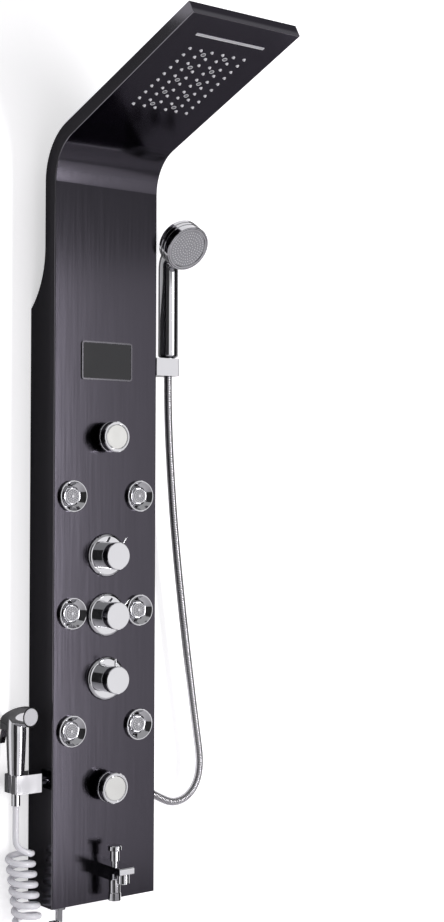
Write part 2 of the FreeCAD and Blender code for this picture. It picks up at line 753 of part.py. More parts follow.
def jet_pipes():
    """Vertical pipes from chamber to chamber, and the cross pipes that feed them from the manifold."""
    pipes = []
    y = JET_PIPE_Y
    cross_z = VALVE_Z[0] + VALVE_BODY_R + 3 * JET_PIPE_R
    for side in (-1, 1):
        for upper, lower in zip(JET_Z, JET_Z[1:]):
            low = lower + JET_BODY_HALF
            pipe = rod(JET_PIPE_R, (side * JET_X, y, low), UP, upper - JET_BODY_HALF - low)
            if lower < cross_z < upper:
                start = MANIFOLD_WIDTH / 2
                cross = rod(JET_PIPE_R, (side * start, y, cross_z), V(side, 0, 0), JET_X - start)
                pipe = joined(pipe, [cross])
            pipes.append(pipe)
    return pipes


# ---- valves ----
def valve_flange(z):
    rise = FLANGE_HEIGHT
    bore = SPINDLE_R + CLEAR
    profile = [(bore, 0), (FLANGE_R, 0), (FLANGE_R, 1.6),
               ((FLANGE_R - 1.3, rise - 1.8), (FLANGE_R - 4.5, rise)),
               (SLEEVE_R, rise), (SLEEVE_R, SLEEVE_TOP), (bore, SLEEVE_TOP)]
    return turned(profile, (0, FRONT_Y, z), OUT)


def valve_knob(z, pin_angle):
    start = SLEEVE_TOP + KNOB_GAP
    end = start + KNOB_LENGTH
    depth = NUT_THICKNESS * 3
    profile = [(0, -depth), (SPINDLE_R, -depth), (SPINDLE_R, start), (KNOB_R - KNOB_EDGE, start),
               (KNOB_R, start + KNOB_EDGE), (KNOB_R, end - KNOB_EDGE), (KNOB_R - KNOB_EDGE, end), (0, end)]
    knob = turned(profile, (0, FRONT_Y, z), OUT)
    angle = math.radians(pin_angle)
    direction = V(math.sin(angle), 0, math.cos(angle))
    root = KNOB_R - 6
    centre = V(0, FRONT_Y - start - KNOB_LENGTH * 0.42, z)
    pin = Part.makeCylinder(PIN_R, PIN_TIP - root, centre + direction * root, direction)
    hole = Part.makeCylinder(PIN_R, PIN_TIP, centre + direction * root, direction)
    return [knob.cut(hole), pin]


def valve_body(z):
    """Cartridge housing between the panel's face and the manifold."""
    deep = DEPTH - MANIFOLD_BACK - MANIFOLD_DEPTH
    bore = SPINDLE_R + RUN_GAP
    body = turned([(bore, -SHEET), (VALVE_BODY_R, -SHEET), (VALVE_BODY_R, -deep), (0, -deep),
                   (0, -deep + PIPE_WALL), (bore, -deep + PIPE_WALL)], (0, FRONT_Y, z), OUT)
    neck_r = VALVE_BODY_R - VALVE_NECK_STEP - CLEAR
    neck = turned([(bore, 0), (neck_r, 0), (neck_r, -SHEET), (bore, -SHEET)], (0, FRONT_Y, z), OUT)
    return joined(body, [neck])


def dial_knob(z):
    low = DIAL_STANDOFF
    high = low + DIAL_THICKNESS
    groove = DIAL_R - DIAL_RING
    profile = [(0, -NUT_THICKNESS * 2), (DIAL_SPINDLE_R, -NUT_THICKNESS * 2), (DIAL_SPINDLE_R, low),
               (DIAL_R - 1.5, low), (DIAL_R, low + 1.5), (DIAL_R, low + 5), (DIAL_R - DIAL_GROOVE, low + 5.5),
               (DIAL_R - DIAL_GROOVE, low + 7), (DIAL_R, low + 7.5), (DIAL_R, high - 1.2),
               (DIAL_R - 1.2, high), (groove, high), (groove, high - DIAL_GROOVE),
               (groove - DIAL_GROOVE, high - DIAL_GROOVE), (groove - DIAL_GROOVE, high), (0, high)]
    return turned(profile, (0, FRONT_Y, z), OUT)


def dial_valve(z):
    deep = DEPTH - MANIFOLD_BACK - MANIFOLD_DEPTH
    bore = DIAL_SPINDLE_R + RUN_GAP
    profile = [(bore, DIAL_STANDOFF - CLEAR), (DIAL_COLLAR_R, DIAL_STANDOFF - CLEAR), (DIAL_COLLAR_R, -SHEET),
               (VALVE_BODY_R, -SHEET), (VALVE_BODY_R, -deep), (0, -deep), (0, -deep + PIPE_WALL),
               (bore, -deep + PIPE_WALL)]
    return turned(profile, (0, FRONT_Y, z), OUT)


# ---- water ways ----
def supply_manifold():
    half = MANIFOLD_WIDTH / 2
    front = -MANIFOLD_BACK - MANIFOLD_DEPTH
    block = box(-half, half, front, -MANIFOLD_BACK, MANIFOLD_BOTTOM, MANIFOLD_TOP)
    wall = 2 * PIPE_WALL
    water = box(-half + wall, half - wall, front + wall, -MANIFOLD_BACK - wall, MANIFOLD_BOTTOM + wall,
                MANIFOLD_TOP - wall)
    return block.cut(water)


def inlet(side):
    """Elbow from the manifold to a male half-inch nipple that faces the wall."""
    y = -MANIFOLD_BACK - MANIFOLD_DEPTH / 2
    start = MANIFOLD_WIDTH / 2
    arm = rod(INLET_TUBE_R, (side * start, y, INLET_Z), V(side, 0, 0), INLET_X - start)
    end = -INLET_PROUD - y
    thread = end - INLET_THREAD_LENGTH
    heel = -INLET_TUBE_R - 1
    nipple = turned([(0, heel), (INLET_TUBE_R + 1, heel), (INLET_TUBE_R + 1, thread),
                     (INLET_R, thread), (INLET_R, end), (INLET_BORE_R, end), (INLET_BORE_R, thread),
                     (0, thread)],
                    (side * INLET_X, y, INLET_Z), V(0, 1, 0))
    return joined(nipple, [arm])


def riser_pipe():
    y = -MANIFOLD_BACK - MANIFOLD_DEPTH / 2
    neck = FRONT_Y + NECK_DEPTH / 2
    mid = SHEET + LENS_PROUD + CHAMBER_HEIGHT / 2
    tilt = math.radians(ARM_ANGLE)
    bend = arm_point((FRONT_Y - neck + mid * math.sin(tilt)) / math.cos(tilt), mid)
    chamber = arm_point(HEAD_CENTRE - CHAMBER_LENGTH / 2, mid)
    route = [(0, y, MANIFOLD_TOP), (0, y, MANIFOLD_TOP + 130), (0, neck, FLARE_TOP_Z - 20),
             tuple(bend), tuple(chamber)]
    edges, _ = smooth_route(route)
    return swept(edges, RISER_R)


# ---- tub spout ----
def spout_body():
    tip = FRONT_Y - SPOUT_REACH
    step = FRONT_Y - SPOUT_STEP
    lip = SPOUT_TOP - SPOUT_TIP_HEIGHT
    corners = [(FRONT_Y, SPOUT_BOTTOM), (FRONT_Y, SPOUT_TOP), (tip, SPOUT_TOP), (tip, lip), (step, lip),
               (step, SPOUT_BOTTOM), (FRONT_Y, SPOUT_BOTTOM)]
    edges = side_wire(corners, [0, 0, 2 * SPOUT_ROUND, SPOUT_ROUND, 0, 2 * SPOUT_ROUND, 0])
    face = Part.Face(Part.Wire(edges))
    body = face.extrude(V(2 * SPOUT_HALF_WIDTH, 0, 0))
    body.translate(V(-SPOUT_HALF_WIDTH, 0, 0))
    middle = (SPOUT_TOP + SPOUT_BOTTOM) / 2
    tail = rod(SPOUT_TAIL_R, (0, -MANIFOLD_BACK - MANIFOLD_DEPTH, middle), OUT,
               DEPTH - MANIFOLD_BACK - MANIFOLD_DEPTH)
    bore = rod(DIVERTER_ROD_R + RUN_GAP, (0, FRONT_Y - OUTLET_OUT, SPOUT_BOTTOM + 4), UP, SPOUT_TOP)
    return joined(body, [tail]).cut(bore)


def spout_outlet():
    thread_top = OUTLET_BOTTOM + OUTLET_THREAD_LENGTH
    bore = OUTLET_R - 2.5
    return turned([(bore, OUTLET_BOTTOM), (OUTLET_THREAD_R, OUTLET_BOTTOM), (OUTLET_THREAD_R, thread_top),
                   (OUTLET_R, thread_top + 1), (OUTLET_R, SPOUT_BOTTOM), (bore, SPOUT_BOTTOM)],
                  (0, FRONT_Y - OUTLET_OUT, 0), UP)


def spout_aerator():
    lip = SPOUT_TOP - SPOUT_TIP_HEIGHT
    return turned([(AERATOR_R - 2, AERATOR_BOTTOM), (AERATOR_R, AERATOR_BOTTOM + 1), (AERATOR_R, lip),
                   (0, lip), (0, AERATOR_BOTTOM + 2), (AERATOR_R - 2, AERATOR_BOTTOM + 2)],
                  (0, FRONT_Y - AERATOR_OUT, 0), UP)


def spout_diverter():
    deep = SPOUT_TOP - DIVERTER_LIFT - 5
    return turned([(0, deep), (DIVERTER_ROD_R, deep), (DIVERTER_ROD_R, DIVERTER_BARREL_Z),
                   (DIVERTER_BARREL_R, DIVERTER_BARREL_Z), (DIVERTER_BARREL_R, DIVERTER_CAP_Z),
                   (DIVERTER_CAP_R - 0.8, DIVERTER_CAP_Z), (DIVERTER_CAP_R, DIVERTER_CAP_Z + 0.8),
                   (DIVERTER_CAP_R, DIVERTER_TOP_Z - 1), (DIVERTER_CAP_R - 1, DIVERTER_TOP_Z),
                   (0, DIVERTER_TOP_Z)],
                  (0, FRONT_Y - OUTLET_OUT, 0), UP)


# ---- clips ----
def clip(side, z):
    x0, x1 = sorted((side * CLIP_INNER, side * CLIP_OUTER))
    block = box(x0, x1, -CLIP_FRONT, -CLIP_FRONT + CLIP_DEPTH, z, z + CLIP_HEIGHT)
    outer = [e for e in block.Edges if abs(abs(e.CenterOfMass.x) - CLIP_OUTER) < 0.1]
    block = block.makeFillet(CLIP_EDGE, outer)
    bore = Part.makeCone(CLIP_BORE_BOTTOM_R, CLIP_BORE_TOP_R, CLIP_HEIGHT, V(side * HOLD_X, HOLD_Y, z))
    s0, s1 = sorted((side * HOLD_X, side * (CLIP_OUTER + 5)))
    slot = box(s0, s1, HOLD_Y - CLIP_SLOT / 2, HOLD_Y + CLIP_SLOT / 2, z - 1, z + CLIP_HEIGHT + 1)
    return block.cut([bore, slot])


def clip_stem(side, z):
    """Turned post between the flank and the clip, with its nut drawn up inside the flank."""
    reach = CLIP_INNER - HALF
    inside = SHEET + NUT_THICKNESS
    post = turned([(0, -inside - 2), (STEM_SHANK_R, -inside - 2), (STEM_SHANK_R, 0), (STEM_R, 0),
                   (STEM_R, reach), (0, reach)], (side * HALF, HOLD_Y, z), V(side, 0, 0))
    nut = hex_nut(STEM_SHANK_R, (side * (HALF - inside), HOLD_Y, z), V(side, 0, 0), NUT_THICKNESS)
    return joined(post, [nut])


# ---- hand shower ----
def head_axis():
    tilt = math.radians(HEAD_TILT)
    return V(0, -math.cos(tilt), -math.sin(tilt))


def head_back():
    face = V(HOLD_X, HEAD_FACE_Y, HEAD_FACE_Z)
    return face - head_axis() * HEAD_DEPTH


def hand_shower_handle():
    foot = HANDLE_FOOT
    return turned([(0, foot), (CLIP_BORE_TOP_R, foot), (HANDLE_R - 0.8, foot + 3), (HANDLE_R, foot + 5),
                   (HANDLE_R, HANDLE_TOP), (0, HANDLE_TOP)], (HOLD_X, HOLD_Y, 0), UP)


def hand_shower_head():
    """Drum with grooved side and a neck that grows out of the handle."""
    g = HEAD_GROOVE
    d = HEAD_DEPTH
    profile = [(0, 0), (HEAD_BACK_R, 0), (HEAD_R - 2, 2.2), (HEAD_R, 5), (HEAD_R, d * 0.36),
               (HEAD_R - g, d * 0.36 + g), (HEAD_R - g, d * 0.44), (HEAD_R, d * 0.44 + g), (HEAD_R, d * 0.62),
               (HEAD_R - g, d * 0.62 + g), (HEAD_R - g, d * 0.7), (HEAD_R, d * 0.7 + g), (HEAD_R, d), (0, d)]
    drum = turned(profile, tuple(head_back()), head_axis())
    back = head_back()
    inside = back + head_axis() * (HEAD_DEPTH * 0.43) + in_face_down() * (HEAD_R * 0.35)
    low = tilted_circle(HANDLE_R, HOLD_Y, HANDLE_TOP, 0)
    elbow = tilted_circle(HANDLE_R * 0.99, HOLD_Y - NECK_SHIFT, HANDLE_TOP + NECK_RISE, 35)
    high = tilted_circle(HANDLE_R * 0.96, inside.y, inside.z, 75)
    return joined(drum, [Part.makeLoft([low, elbow, high], True, False)])


def in_face_down():
    tilt = math.radians(HEAD_TILT)
    return V(0, math.sin(tilt), -math.cos(tilt))


def tilted_circle(radius, y, z, lean):
    """Circle across the hand shower's neck, leaning forward by so many degrees."""
    circle = Part.Wire(Part.Circle(V(0, 0, 0), UP, radius).toShape())
    circle.Placement = FreeCAD.Placement(V(HOLD_X, y, z), FreeCAD.Rotation(V(1, 0, 0), lean))
    return circle


def hand_shower_ring():
    high = HEAD_RING_PROUD
    profile = [(HEAD_RING_R, 0), (HEAD_R, 0), (HEAD_R, high * 0.4), (HEAD_R - 0.9, high),
               (HEAD_R - 2.4, high), (HEAD_R - 2.9, high * 0.4), (HEAD_R - 3.4, high),
               (HEAD_RING_R + 0.6, high), (HEAD_RING_R, high * 0.6)]
    return turned(profile, (HOLD_X, HEAD_FACE_Y, HEAD_FACE_Z), head_axis())


def hand_shower_face():
    return turned([(0, 0), (HEAD_RING_R - CLEAR, 0), (HEAD_RING_R - CLEAR, HEAD_RING_PROUD * 0.4),
                   (0, HEAD_RING_PROUD * 0.4)], (HOLD_X, HEAD_FACE_Y, HEAD_FACE_Z), head_axis())


def hand_shower_nut():
    """Conical hose nut that rests in the clip's tapered bore."""
    top = CLIP_HEIGHT + HANDLE_CLEAR
    return turned([(0, 0), (CLIP_BORE_BOTTOM_R - CLEAR, 0), (CLIP_BORE_TOP_R - CLEAR, CLIP_HEIGHT),
                   (CLIP_BORE_TOP_R - CLEAR, top), (0, top)], (HOLD_X, HOLD_Y, RIGHT_CLIP_Z), UP)


def outlet_axis():
    tilt = math.radians(HOSE_OUTLET_TILT)
    return V(math.cos(tilt), 0, -math.sin(tilt))


def hose_outlet():
    """Bent outlet on the right flank with the hose's lower nut, fed straight from the manifold."""
    centre = (HALF, HOSE_OUTLET_Y, HOSE_OUTLET_Z)
    boss = turned([(0, 0), (HOSE_OUTLET_BOSS_R, 0), (HOSE_OUTLET_BOSS_R, HOSE_OUTLET_BOSS - 1),
                   (HOSE_OUTLET_BOSS_R - 1, HOSE_OUTLET_BOSS), (0, HOSE_OUTLET_BOSS)], centre, V(1, 0, 0))
    start = MANIFOLD_WIDTH / 2
    feed = rod(INLET_TUBE_R, (start, HOSE_OUTLET_Y, HOSE_OUTLET_Z), V(1, 0, 0), HALF - start)
    end = HOSE_OUTLET_REACH + HOSE_NUT_LENGTH
    root = (HOSE_NUT_R - 1) * math.tan(math.radians(HOSE_OUTLET_TILT)) + CLEAR
    nut = turned([(0, root), (HOSE_NUT_R - 1, root), (HOSE_NUT_R - 1, HOSE_OUTLET_REACH),
                  (HOSE_NUT_R, HOSE_OUTLET_REACH + 1), (HOSE_NUT_R, end - 6), (NUT_TIP_R, end), (0, end)],
                 centre, outlet_axis())
    return joined(boss, [feed, nut])


def hose_end():
    end = outlet_axis() * (HOSE_OUTLET_REACH + HOSE_NUT_LENGTH)
    return V(HALF, HOSE_OUTLET_Y, HOSE_OUTLET_Z) + end


# Route of the hand shower's hose, from its nut down to the outlet on the right flank.
HOSE_POINTS = [(147.5, -40.5, 806.0), (153.0, -40.5, 708.0), (163.6, -40.0, 590.0), (182.4, -39.5, 446.0),
               (201.6, -39.0, 320.0), (213.0, -38.5, 250.0), (222.0, -38.0, 197.0), (214.0, -38.0, 160.0),
               (191.5, -38.0, 138.0), (162.0, -38.0, 132.8)]


def shower_hose():
    start = (HOLD_X, HOLD_Y, RIGHT_CLIP_Z)
    end = hose_end()
    before_end = end + outlet_axis() * (HOSE_R * 2.4)
    route = [start] + HOSE_POINTS + [tuple(before_end), tuple(end)]
    edges, radii = smooth_route(route)
    length = sum(edge.Length for edge in edges)
    tube = swept(edges, HOSE_R)
    print("shower hose: length", round(length, 1), "radii", radii)
    print("shower hose volume share", round(tube.Volume / (math.pi * HOSE_R ** 2 * length), 4))
    return tube


# ---- sprayer ----
def in_sprayer(solid):
    """Turn a solid made about the Z axis, nozzle towards -Y, to the sprayer's place and yaw."""
    place = FreeCAD.Placement(V(-HOLD_X, HOLD_Y, 0), FreeCAD.Rotation(UP, SPRAYER_YAW))
    solid.Placement = place.multiply(solid.Placement)
    return solid


def circle_wire(radius, y, z):
    return Part.Wire(Part.Circle(V(0, y, z), OUT, radius).toShape())


def sprayer_body():
    """Handle that swells towards the head, and a head that tapers back to the trigger's ears."""
    foot = SPRAYER_FOOT
    handle = turned([(0, foot), (SPRAYER_FOOT_R, foot), ((SPRAYER_HANDLE_R - 0.9, foot + 40),
                    (SPRAYER_HANDLE_R, SPRAYER_SHOULDER_Z)), (SPRAYER_HANDLE_R - 1, SPRAYER_HEAD_Z - 4),
                    (0, SPRAYER_HEAD_Z - 4)], (0, 0, 0), UP)
    sections = [circle_wire(SPRAYER_HEAD_R, -SPRAYER_HEAD_OUT, SPRAYER_HEAD_Z),
                circle_wire(SPRAYER_HEAD_R, -SPRAYER_HEAD_OUT / 2, SPRAYER_HEAD_Z - 1),
                circle_wire(SPRAYER_HANDLE_R - 1, 0, SPRAYER_HEAD_Z - 4),
                circle_wire(SPRAYER_REAR_R, SPRAYER_REAR_OUT, SPRAYER_REAR_Z)]
    head = Part.makeLoft(sections, True, False)
    recess = rod(SPRAYER_FACE_R + CLEAR, (0, -SPRAYER_HEAD_OUT - 1, SPRAYER_HEAD_Z), V(0, 1, 0), 3)
    ear_low = TRIGGER_PIVOT_Z - TRIGGER_EAR
    half = TRIGGER_WIDTH / 2
    ears = []
    for x0 in (-half - TRIGGER_EAR / 2, half - TRIGGER_EAR / 2):
        ears.append(box(x0, x0 + TRIGGER_EAR, TRIGGER_PIVOT_OUT - 14, TRIGGER_PIVOT_OUT + TRIGGER_EAR,
                        ear_low, SPRAYER_REAR_Z))
    pin_hole = rod(TRIGGER_PIN_R, (-20, TRIGGER_PIVOT_OUT, TRIGGER_PIVOT_Z), V(1, 0, 0), 40)
    body = joined(handle, [head] + ears).cut([recess, pin_hole])
    return in_sprayer(body)


def sprayer_face():
    profile = [(0, 0), (SPRAYER_FACE_R, 0), (SPRAYER_FACE_R, 1.6), (SPRAYER_FACE_R - 1, 2.4), (0, 2.4)]
    return in_sprayer(turned(profile, (0, -SPRAYER_HEAD_OUT + 2, SPRAYER_HEAD_Z), OUT))


def sprayer_trigger():
    """Thumb lever that hangs from its pin behind the handle."""
    width = TRIGGER_WIDTH - TRIGGER_EAR - 2 * CLEAR
    lever = box(-width / 2, width / 2, -TRIGGER_THICKNESS / 2, TRIGGER_THICKNESS / 2, -TRIGGER_LENGTH, 0)
    foot = [e for e in lever.Edges if abs(e.CenterOfMass.z + TRIGGER_LENGTH) < 0.1]
    lever = lever.makeFillet(TRIGGER_THICKNESS * 0.45, foot)
    eye = rod(TRIGGER_THICKNESS * 0.8, (-width / 2, 0, 0), V(1, 0, 0), width)
    lever = joined(lever, [eye])
    lever = lever.cut(rod(TRIGGER_PIN_R + RUN_GAP, (-width, 0, 0), V(1, 0, 0), 2 * width))
    lever.Placement = FreeCAD.Placement(V(0, TRIGGER_PIVOT_OUT, TRIGGER_PIVOT_Z),
                                        FreeCAD.Rotation(V(1, 0, 0), TRIGGER_LEAN))
    return in_sprayer(lever)


def trigger_pin():
    half = (TRIGGER_WIDTH + TRIGGER_EAR) / 2
    return in_sprayer(rod(TRIGGER_PIN_R, (-half, TRIGGER_PIVOT_OUT, TRIGGER_PIVOT_Z), V(1, 0, 0), 2 * half))


def sprayer_nut():
    """Tapered hose nut in the left clip, with the hose's sleeve below it."""
    top = CLIP_HEIGHT + HANDLE_CLEAR
    return turned([(0, -COIL_SLEEVE_LENGTH), (COIL_SLEEVE_R, -COIL_SLEEVE_LENGTH), (COIL_SLEEVE_R, 0),
                   (CLIP_BORE_BOTTOM_R - CLEAR, 0), (CLIP_BORE_TOP_R - CLEAR, CLIP_HEIGHT),
                   (CLIP_BORE_TOP_R - CLEAR, top), (0, top)], (-HOLD_X, HOLD_Y, LEFT_CLIP_Z), UP)


def coil_point(turns):
    """Point and heading on the coil after so many turns from the top, going down."""
    top = V(*COIL_TOP)
    drop = (V(*COIL_BOTTOM) - top) * (1.0 / COIL_CURLS)
    angle = 2 * math.pi * turns - math.pi / 2
    point = top + drop * turns + V(math.cos(angle), math.sin(angle), 0) * COIL_R
    heading = V(-math.sin(angle), math.cos(angle), 0) * (2 * math.pi * COIL_R) + drop
    heading.normalize()
    return point, heading


def coil_hose():
    """One unbroken tube: a lead from the sprayer, the curls, and a straight end at the outlet."""
    start = V(-HOLD_X, HOLD_Y, LEFT_CLIP_Z - COIL_SLEEVE_LENGTH)
    below = start - UP * (2 * COIL_TUBE_R)
    edges = [Part.LineSegment(start, below).toShape()]
    heading = UP * -1
    point = below
    smallest = float("inf")
    stops = [coil_point(k / 2) for k in range(2 * COIL_CURLS + 1)]
    end = V(SPRAYER_OUTLET_X - SPRAYER_OUTLET_REACH, SPRAYER_OUTLET_Y, SPRAYER_OUTLET_Z)
    stops[-1] = (end - V(2 * COIL_TUBE_R, 0, 0), V(1, 0, 0))
    for stop, direction in stops:
        arcs, radius = biarc(point, heading, stop, direction)
        edges += arcs
        smallest = min(smallest, radius)
        point = stop
        heading = direction
    edges.append(Part.LineSegment(point, end).toShape())
    length = sum(edge.Length for edge in edges)
    print("coil hose: smallest bend radius", round(smallest, 1), "length", round(length, 1))
    print("coil hose: least gap to itself", round(least_gap(edges), 2))
    return swept(Part.Wire(edges).OrderedEdges, COIL_TUBE_R)


def least_gap(edges):
    """Least clear space between parts of the tube that are more than a half turn apart."""
    points = []
    step = 2.0
    for edge in Part.Wire(edges).OrderedEdges:
        count = max(2, int(edge.Length / step))
        points += edge.discretize(count)[:-1]
    apart = int(math.pi * COIL_R / step)
    least = float("inf")
    for i, a in enumerate(points):
        for b in points[i + apart:]:
            least = min(least, a.distanceToPoint(b))
    return least - 2 * COIL_TUBE_R


def sprayer_outlet():
    """Bent pipe from the manifold, out through the column's foot and round to the coiled hose."""
    x = SPRAYER_OUTLET_X
    y = SPRAYER_OUTLET_Y
    z = SPRAYER_OUTLET_Z
    high = MANIFOLD_BOTTOM + SPRAYER_OUTLET_R
    inner_y = -MANIFOLD_BACK - MANIFOLD_DEPTH / 2
    start = (x - SPRAYER_OUTLET_REACH, y, z)
    route = [start, (x, y, z), (x, y, high), (x, inner_y, high), (-MANIFOLD_WIDTH / 2, inner_y, high)]
    edges, _ = smooth_route(route)
    pipe = swept(edges, JET_PIPE_R)
    nut = rod(SPRAYER_OUTLET_R, start, V(1, 0, 0), SPRAYER_OUTLET_NUT)
    tail = rod(SPRAYER_OUTLET_R, (x, y, 0), UP, 2 * SPRAYER_OUTLET_R)
    collar = rod(SPRAYER_COLLAR_R, (x, y, -SPRAYER_COLLAR), UP, SPRAYER_COLLAR)
    return joined(pipe, [nut, tail, collar])


# ---- build ----
os.makedirs("parts", exist_ok=True)

emit("column_shell", column_shell())
emit("arm_top_cover", arm_top_cover())
emit("upper_wall_bracket", wall_bracket(BRACKET_Z))
emit("lower_wall_bracket", wall_bracket(LOWER_BRACKET_Z))
emit("hanger_rails", [hanger_rail(BRACKET_Z), hanger_rail(LOWER_BRACKET_Z)])

emit("rain_nozzles", rain_nozzles())
emit("rain_chamber", rain_chamber())
emit("led_lenses", led_lenses())
emit("led_board", led_board())
emit("waterfall_lip", fall_lip())
emit("waterfall_chamber", fall_chamber())

emit("display_bezel", display_bezel())
emit("display_glass", display_glass())
emit("display_module", display_module())

jet_places = [(x, z) for z in JET_Z for x in (-JET_X, JET_X)]
for number, (x, z) in enumerate(jet_places, 1):
    emit("jet_nozzle_%d" % number, jet_nozzle(x, z))
emit("jet_rims", [jet_rim(x, z) for x, z in jet_places])
emit("jet_bodies", [jet_body(x, z) for x, z in jet_places])
emit("jet_nuts", [face_nut(JET_TAIL_R, x, z) for x, z in jet_places])
emit("jet_pipes", jet_pipes())

for number, (z, angle) in enumerate(zip(VALVE_Z, PIN_ANGLES), 1):
    emit("valve_flange_%d" % number, valve_flange(z))
    emit("valve_knob_%d" % number, valve_knob(z, angle))
emit("valve_bodies", [valve_body(z) for z in VALVE_Z])
emit("upper_dial", dial_knob(DIAL_Z[0]))
emit("lower_dial", dial_knob(DIAL_Z[1]))
emit("dial_valves", [dial_valve(z) for z in DIAL_Z])

emit("supply_manifold", supply_manifold())
emit("hot_inlet", inlet(-1))
emit("cold_inlet", inlet(1))
emit("riser_pipe", riser_pipe())

emit("spout_body", spout_body())
emit("spout_outlet", spout_outlet())
emit("spout_aerator", spout_aerator())
emit("spout_diverter", spout_diverter())
emit("spout_nut", face_nut(SPOUT_TAIL_R, 0, (SPOUT_TOP + SPOUT_BOTTOM) / 2))

emit("right_clip", clip(1, RIGHT_CLIP_Z))
emit("left_clip", clip(-1, LEFT_CLIP_Z))
emit("clip_stems", [clip_stem(side, z + CLIP_HEIGHT / 2)
                    for side, z in ((1, RIGHT_CLIP_Z), (-1, LEFT_CLIP_Z))])

emit("hand_shower_handle", hand_shower_handle())
emit("hand_shower_head", hand_shower_head())
emit("hand_shower_ring", hand_shower_ring())
emit("hand_shower_face", hand_shower_face())
emit("hand_shower_nut", hand_shower_nut())
emit("hose_outlet", hose_outlet())
emit("shower_hose", shower_hose())

emit("sprayer_body", sprayer_body())
emit("sprayer_face", sprayer_face())
emit("sprayer_trigger", sprayer_trigger())
emit("trigger_pin", trigger_pin())
emit("sprayer_nut", sprayer_nut())
emit("sprayer_outlet", sprayer_outlet())
emit("coil_hose", coil_hose())
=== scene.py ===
import math

import bmesh
import bpy
import numpy as np
from mathutils import Matrix, Vector


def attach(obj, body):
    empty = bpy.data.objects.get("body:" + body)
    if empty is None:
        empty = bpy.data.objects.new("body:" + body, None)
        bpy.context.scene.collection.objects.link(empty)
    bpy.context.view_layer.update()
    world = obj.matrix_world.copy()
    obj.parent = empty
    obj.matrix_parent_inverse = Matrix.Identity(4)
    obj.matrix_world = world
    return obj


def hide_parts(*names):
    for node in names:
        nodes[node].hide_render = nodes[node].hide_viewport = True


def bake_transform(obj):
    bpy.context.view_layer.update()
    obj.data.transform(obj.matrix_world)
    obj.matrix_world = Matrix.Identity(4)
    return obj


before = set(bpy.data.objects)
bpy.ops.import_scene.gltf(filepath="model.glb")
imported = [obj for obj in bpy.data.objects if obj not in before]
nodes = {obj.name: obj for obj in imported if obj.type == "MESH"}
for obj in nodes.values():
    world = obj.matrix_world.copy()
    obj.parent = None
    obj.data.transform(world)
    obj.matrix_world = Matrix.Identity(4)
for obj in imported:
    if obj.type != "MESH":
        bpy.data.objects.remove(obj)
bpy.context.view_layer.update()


# ---- studio ----
# White wall that carries the column, pale floor well below its foot, soft lamps ahead and on the
# right, and a uniform grey room. Sheets that only reflections see, two dark flags and three grey
# cards, give the metal its bands.
WALL_Y = 0.0015
FLOOR_Z = -1.75
STAGE_REACH = 4.0
WALL_COLOUR = (0.93, 0.925, 0.935)
WALL_GLOW = 0.45
FLOOR_COLOUR = (0.72, 0.71, 0.73)
AIR_COLOUR = (0.985, 0.985, 1.0)
AIR_LIGHT = 0.53
LAMP_COLOUR = (1.0, 0.985, 1.0)
LAMP_AWAY = 2.66
LAMP_MAIN_BEHIND = 0.02
LAMP_FOOT, LAMP_TOP = -1.5, 0.5
# azimuths of a flag's two edges, and its grey
FLAG_AWAY = 3.3
FLAG_FOOT, FLAG_TOP = -1.7, 2.2
FLAGS = {"flag_left": (-24, -62, 0.07), "flag_right": (100, 43, 0.03)}
# x of a card's two edges, its foot and top, and its grey
CARD_Y = 0.001
CARDS = {"card_low_left": (-0.22, -0.10, -1.0, 0.25, 0.20),
         "card_high_left": (-0.60, -0.10, 0.25, 0.60, 0.20),
         "card_right": (0.10, 0.85, -0.55, 0.35, 0.45)}


def new_material(name):
    """A new material, its node tree and the shader in it."""
    material = bpy.data.materials.new(name)
    material.use_nodes = True
    return material, material.node_tree, material.node_tree.nodes["Principled BSDF"]


def greater(tree, one, other):
    """The greater of two values of a material."""
    node = tree.nodes.new("ShaderNodeMath")
    node.operation = "MAXIMUM"
    tree.links.new(one, node.inputs[0])
    tree.links.new(other, node.inputs[1])
    return node.outputs[0]


def stage_sheet(name, corners, colour, glow=0.0):
    """A single quad through four corners, matt, open to rays that meet its back. The glow is added for
    rays of the camera, of reflections and of clear pieces, so that a white wall reads as white."""
    mesh = bpy.data.meshes.new(name)
    mesh.from_pydata(corners, [], [(0, 1, 2, 3)])
    piece = bpy.data.objects.new(name, mesh)
    bpy.context.scene.collection.objects.link(piece)
    material, tree, matt = new_material(name)
    matt.inputs["Base Color"].default_value = (*colour, 1)
    matt.inputs["Roughness"].default_value = 0.9
    matt.inputs["Specular IOR Level"].default_value = 0.1
    ray = tree.nodes.new("ShaderNodeLightPath")
    looked_at = greater(tree, ray.outputs["Is Camera Ray"], ray.outputs["Is Glossy Ray"])
    looked_through = greater(tree, looked_at, ray.outputs["Is Transmission Ray"])
    strength = tree.nodes.new("ShaderNodeMath")
    strength.operation = "MULTIPLY"
    strength.inputs[1].default_value = glow
    tree.links.new(looked_through, strength.inputs[0])
    matt.inputs["Emission Color"].default_value = (1, 1, 1, 1)
    tree.links.new(strength.outputs[0], matt.inputs["Emission Strength"])
    side = tree.nodes.new("ShaderNodeNewGeometry")
    clear = tree.nodes.new("ShaderNodeBsdfTransparent")
    mix = tree.nodes.new("ShaderNodeMixShader")
    tree.links.new(side.outputs["Backfacing"], mix.inputs[0])
    tree.links.new(matt.outputs[0], mix.inputs[1])
    tree.links.new(clear.outputs[0], mix.inputs[2])
    tree.links.new(mix.outputs[0], tree.nodes["Material Output"].inputs["Surface"])
    mesh.materials.append(material)
    return piece


def reflected_sheet(name, first, last, low, high, grey):
    """Upright sheet between two places of the floor plan, which only reflections see."""
    corners = [(*first, low), (*last, low), (*last, high), (*first, high)]
    sheet = stage_sheet(name, corners, (grey, grey, grey))
    sheet.visible_camera = False
    sheet.visible_diffuse = False
    sheet.visible_shadow = False
    sheet.visible_transmission = False


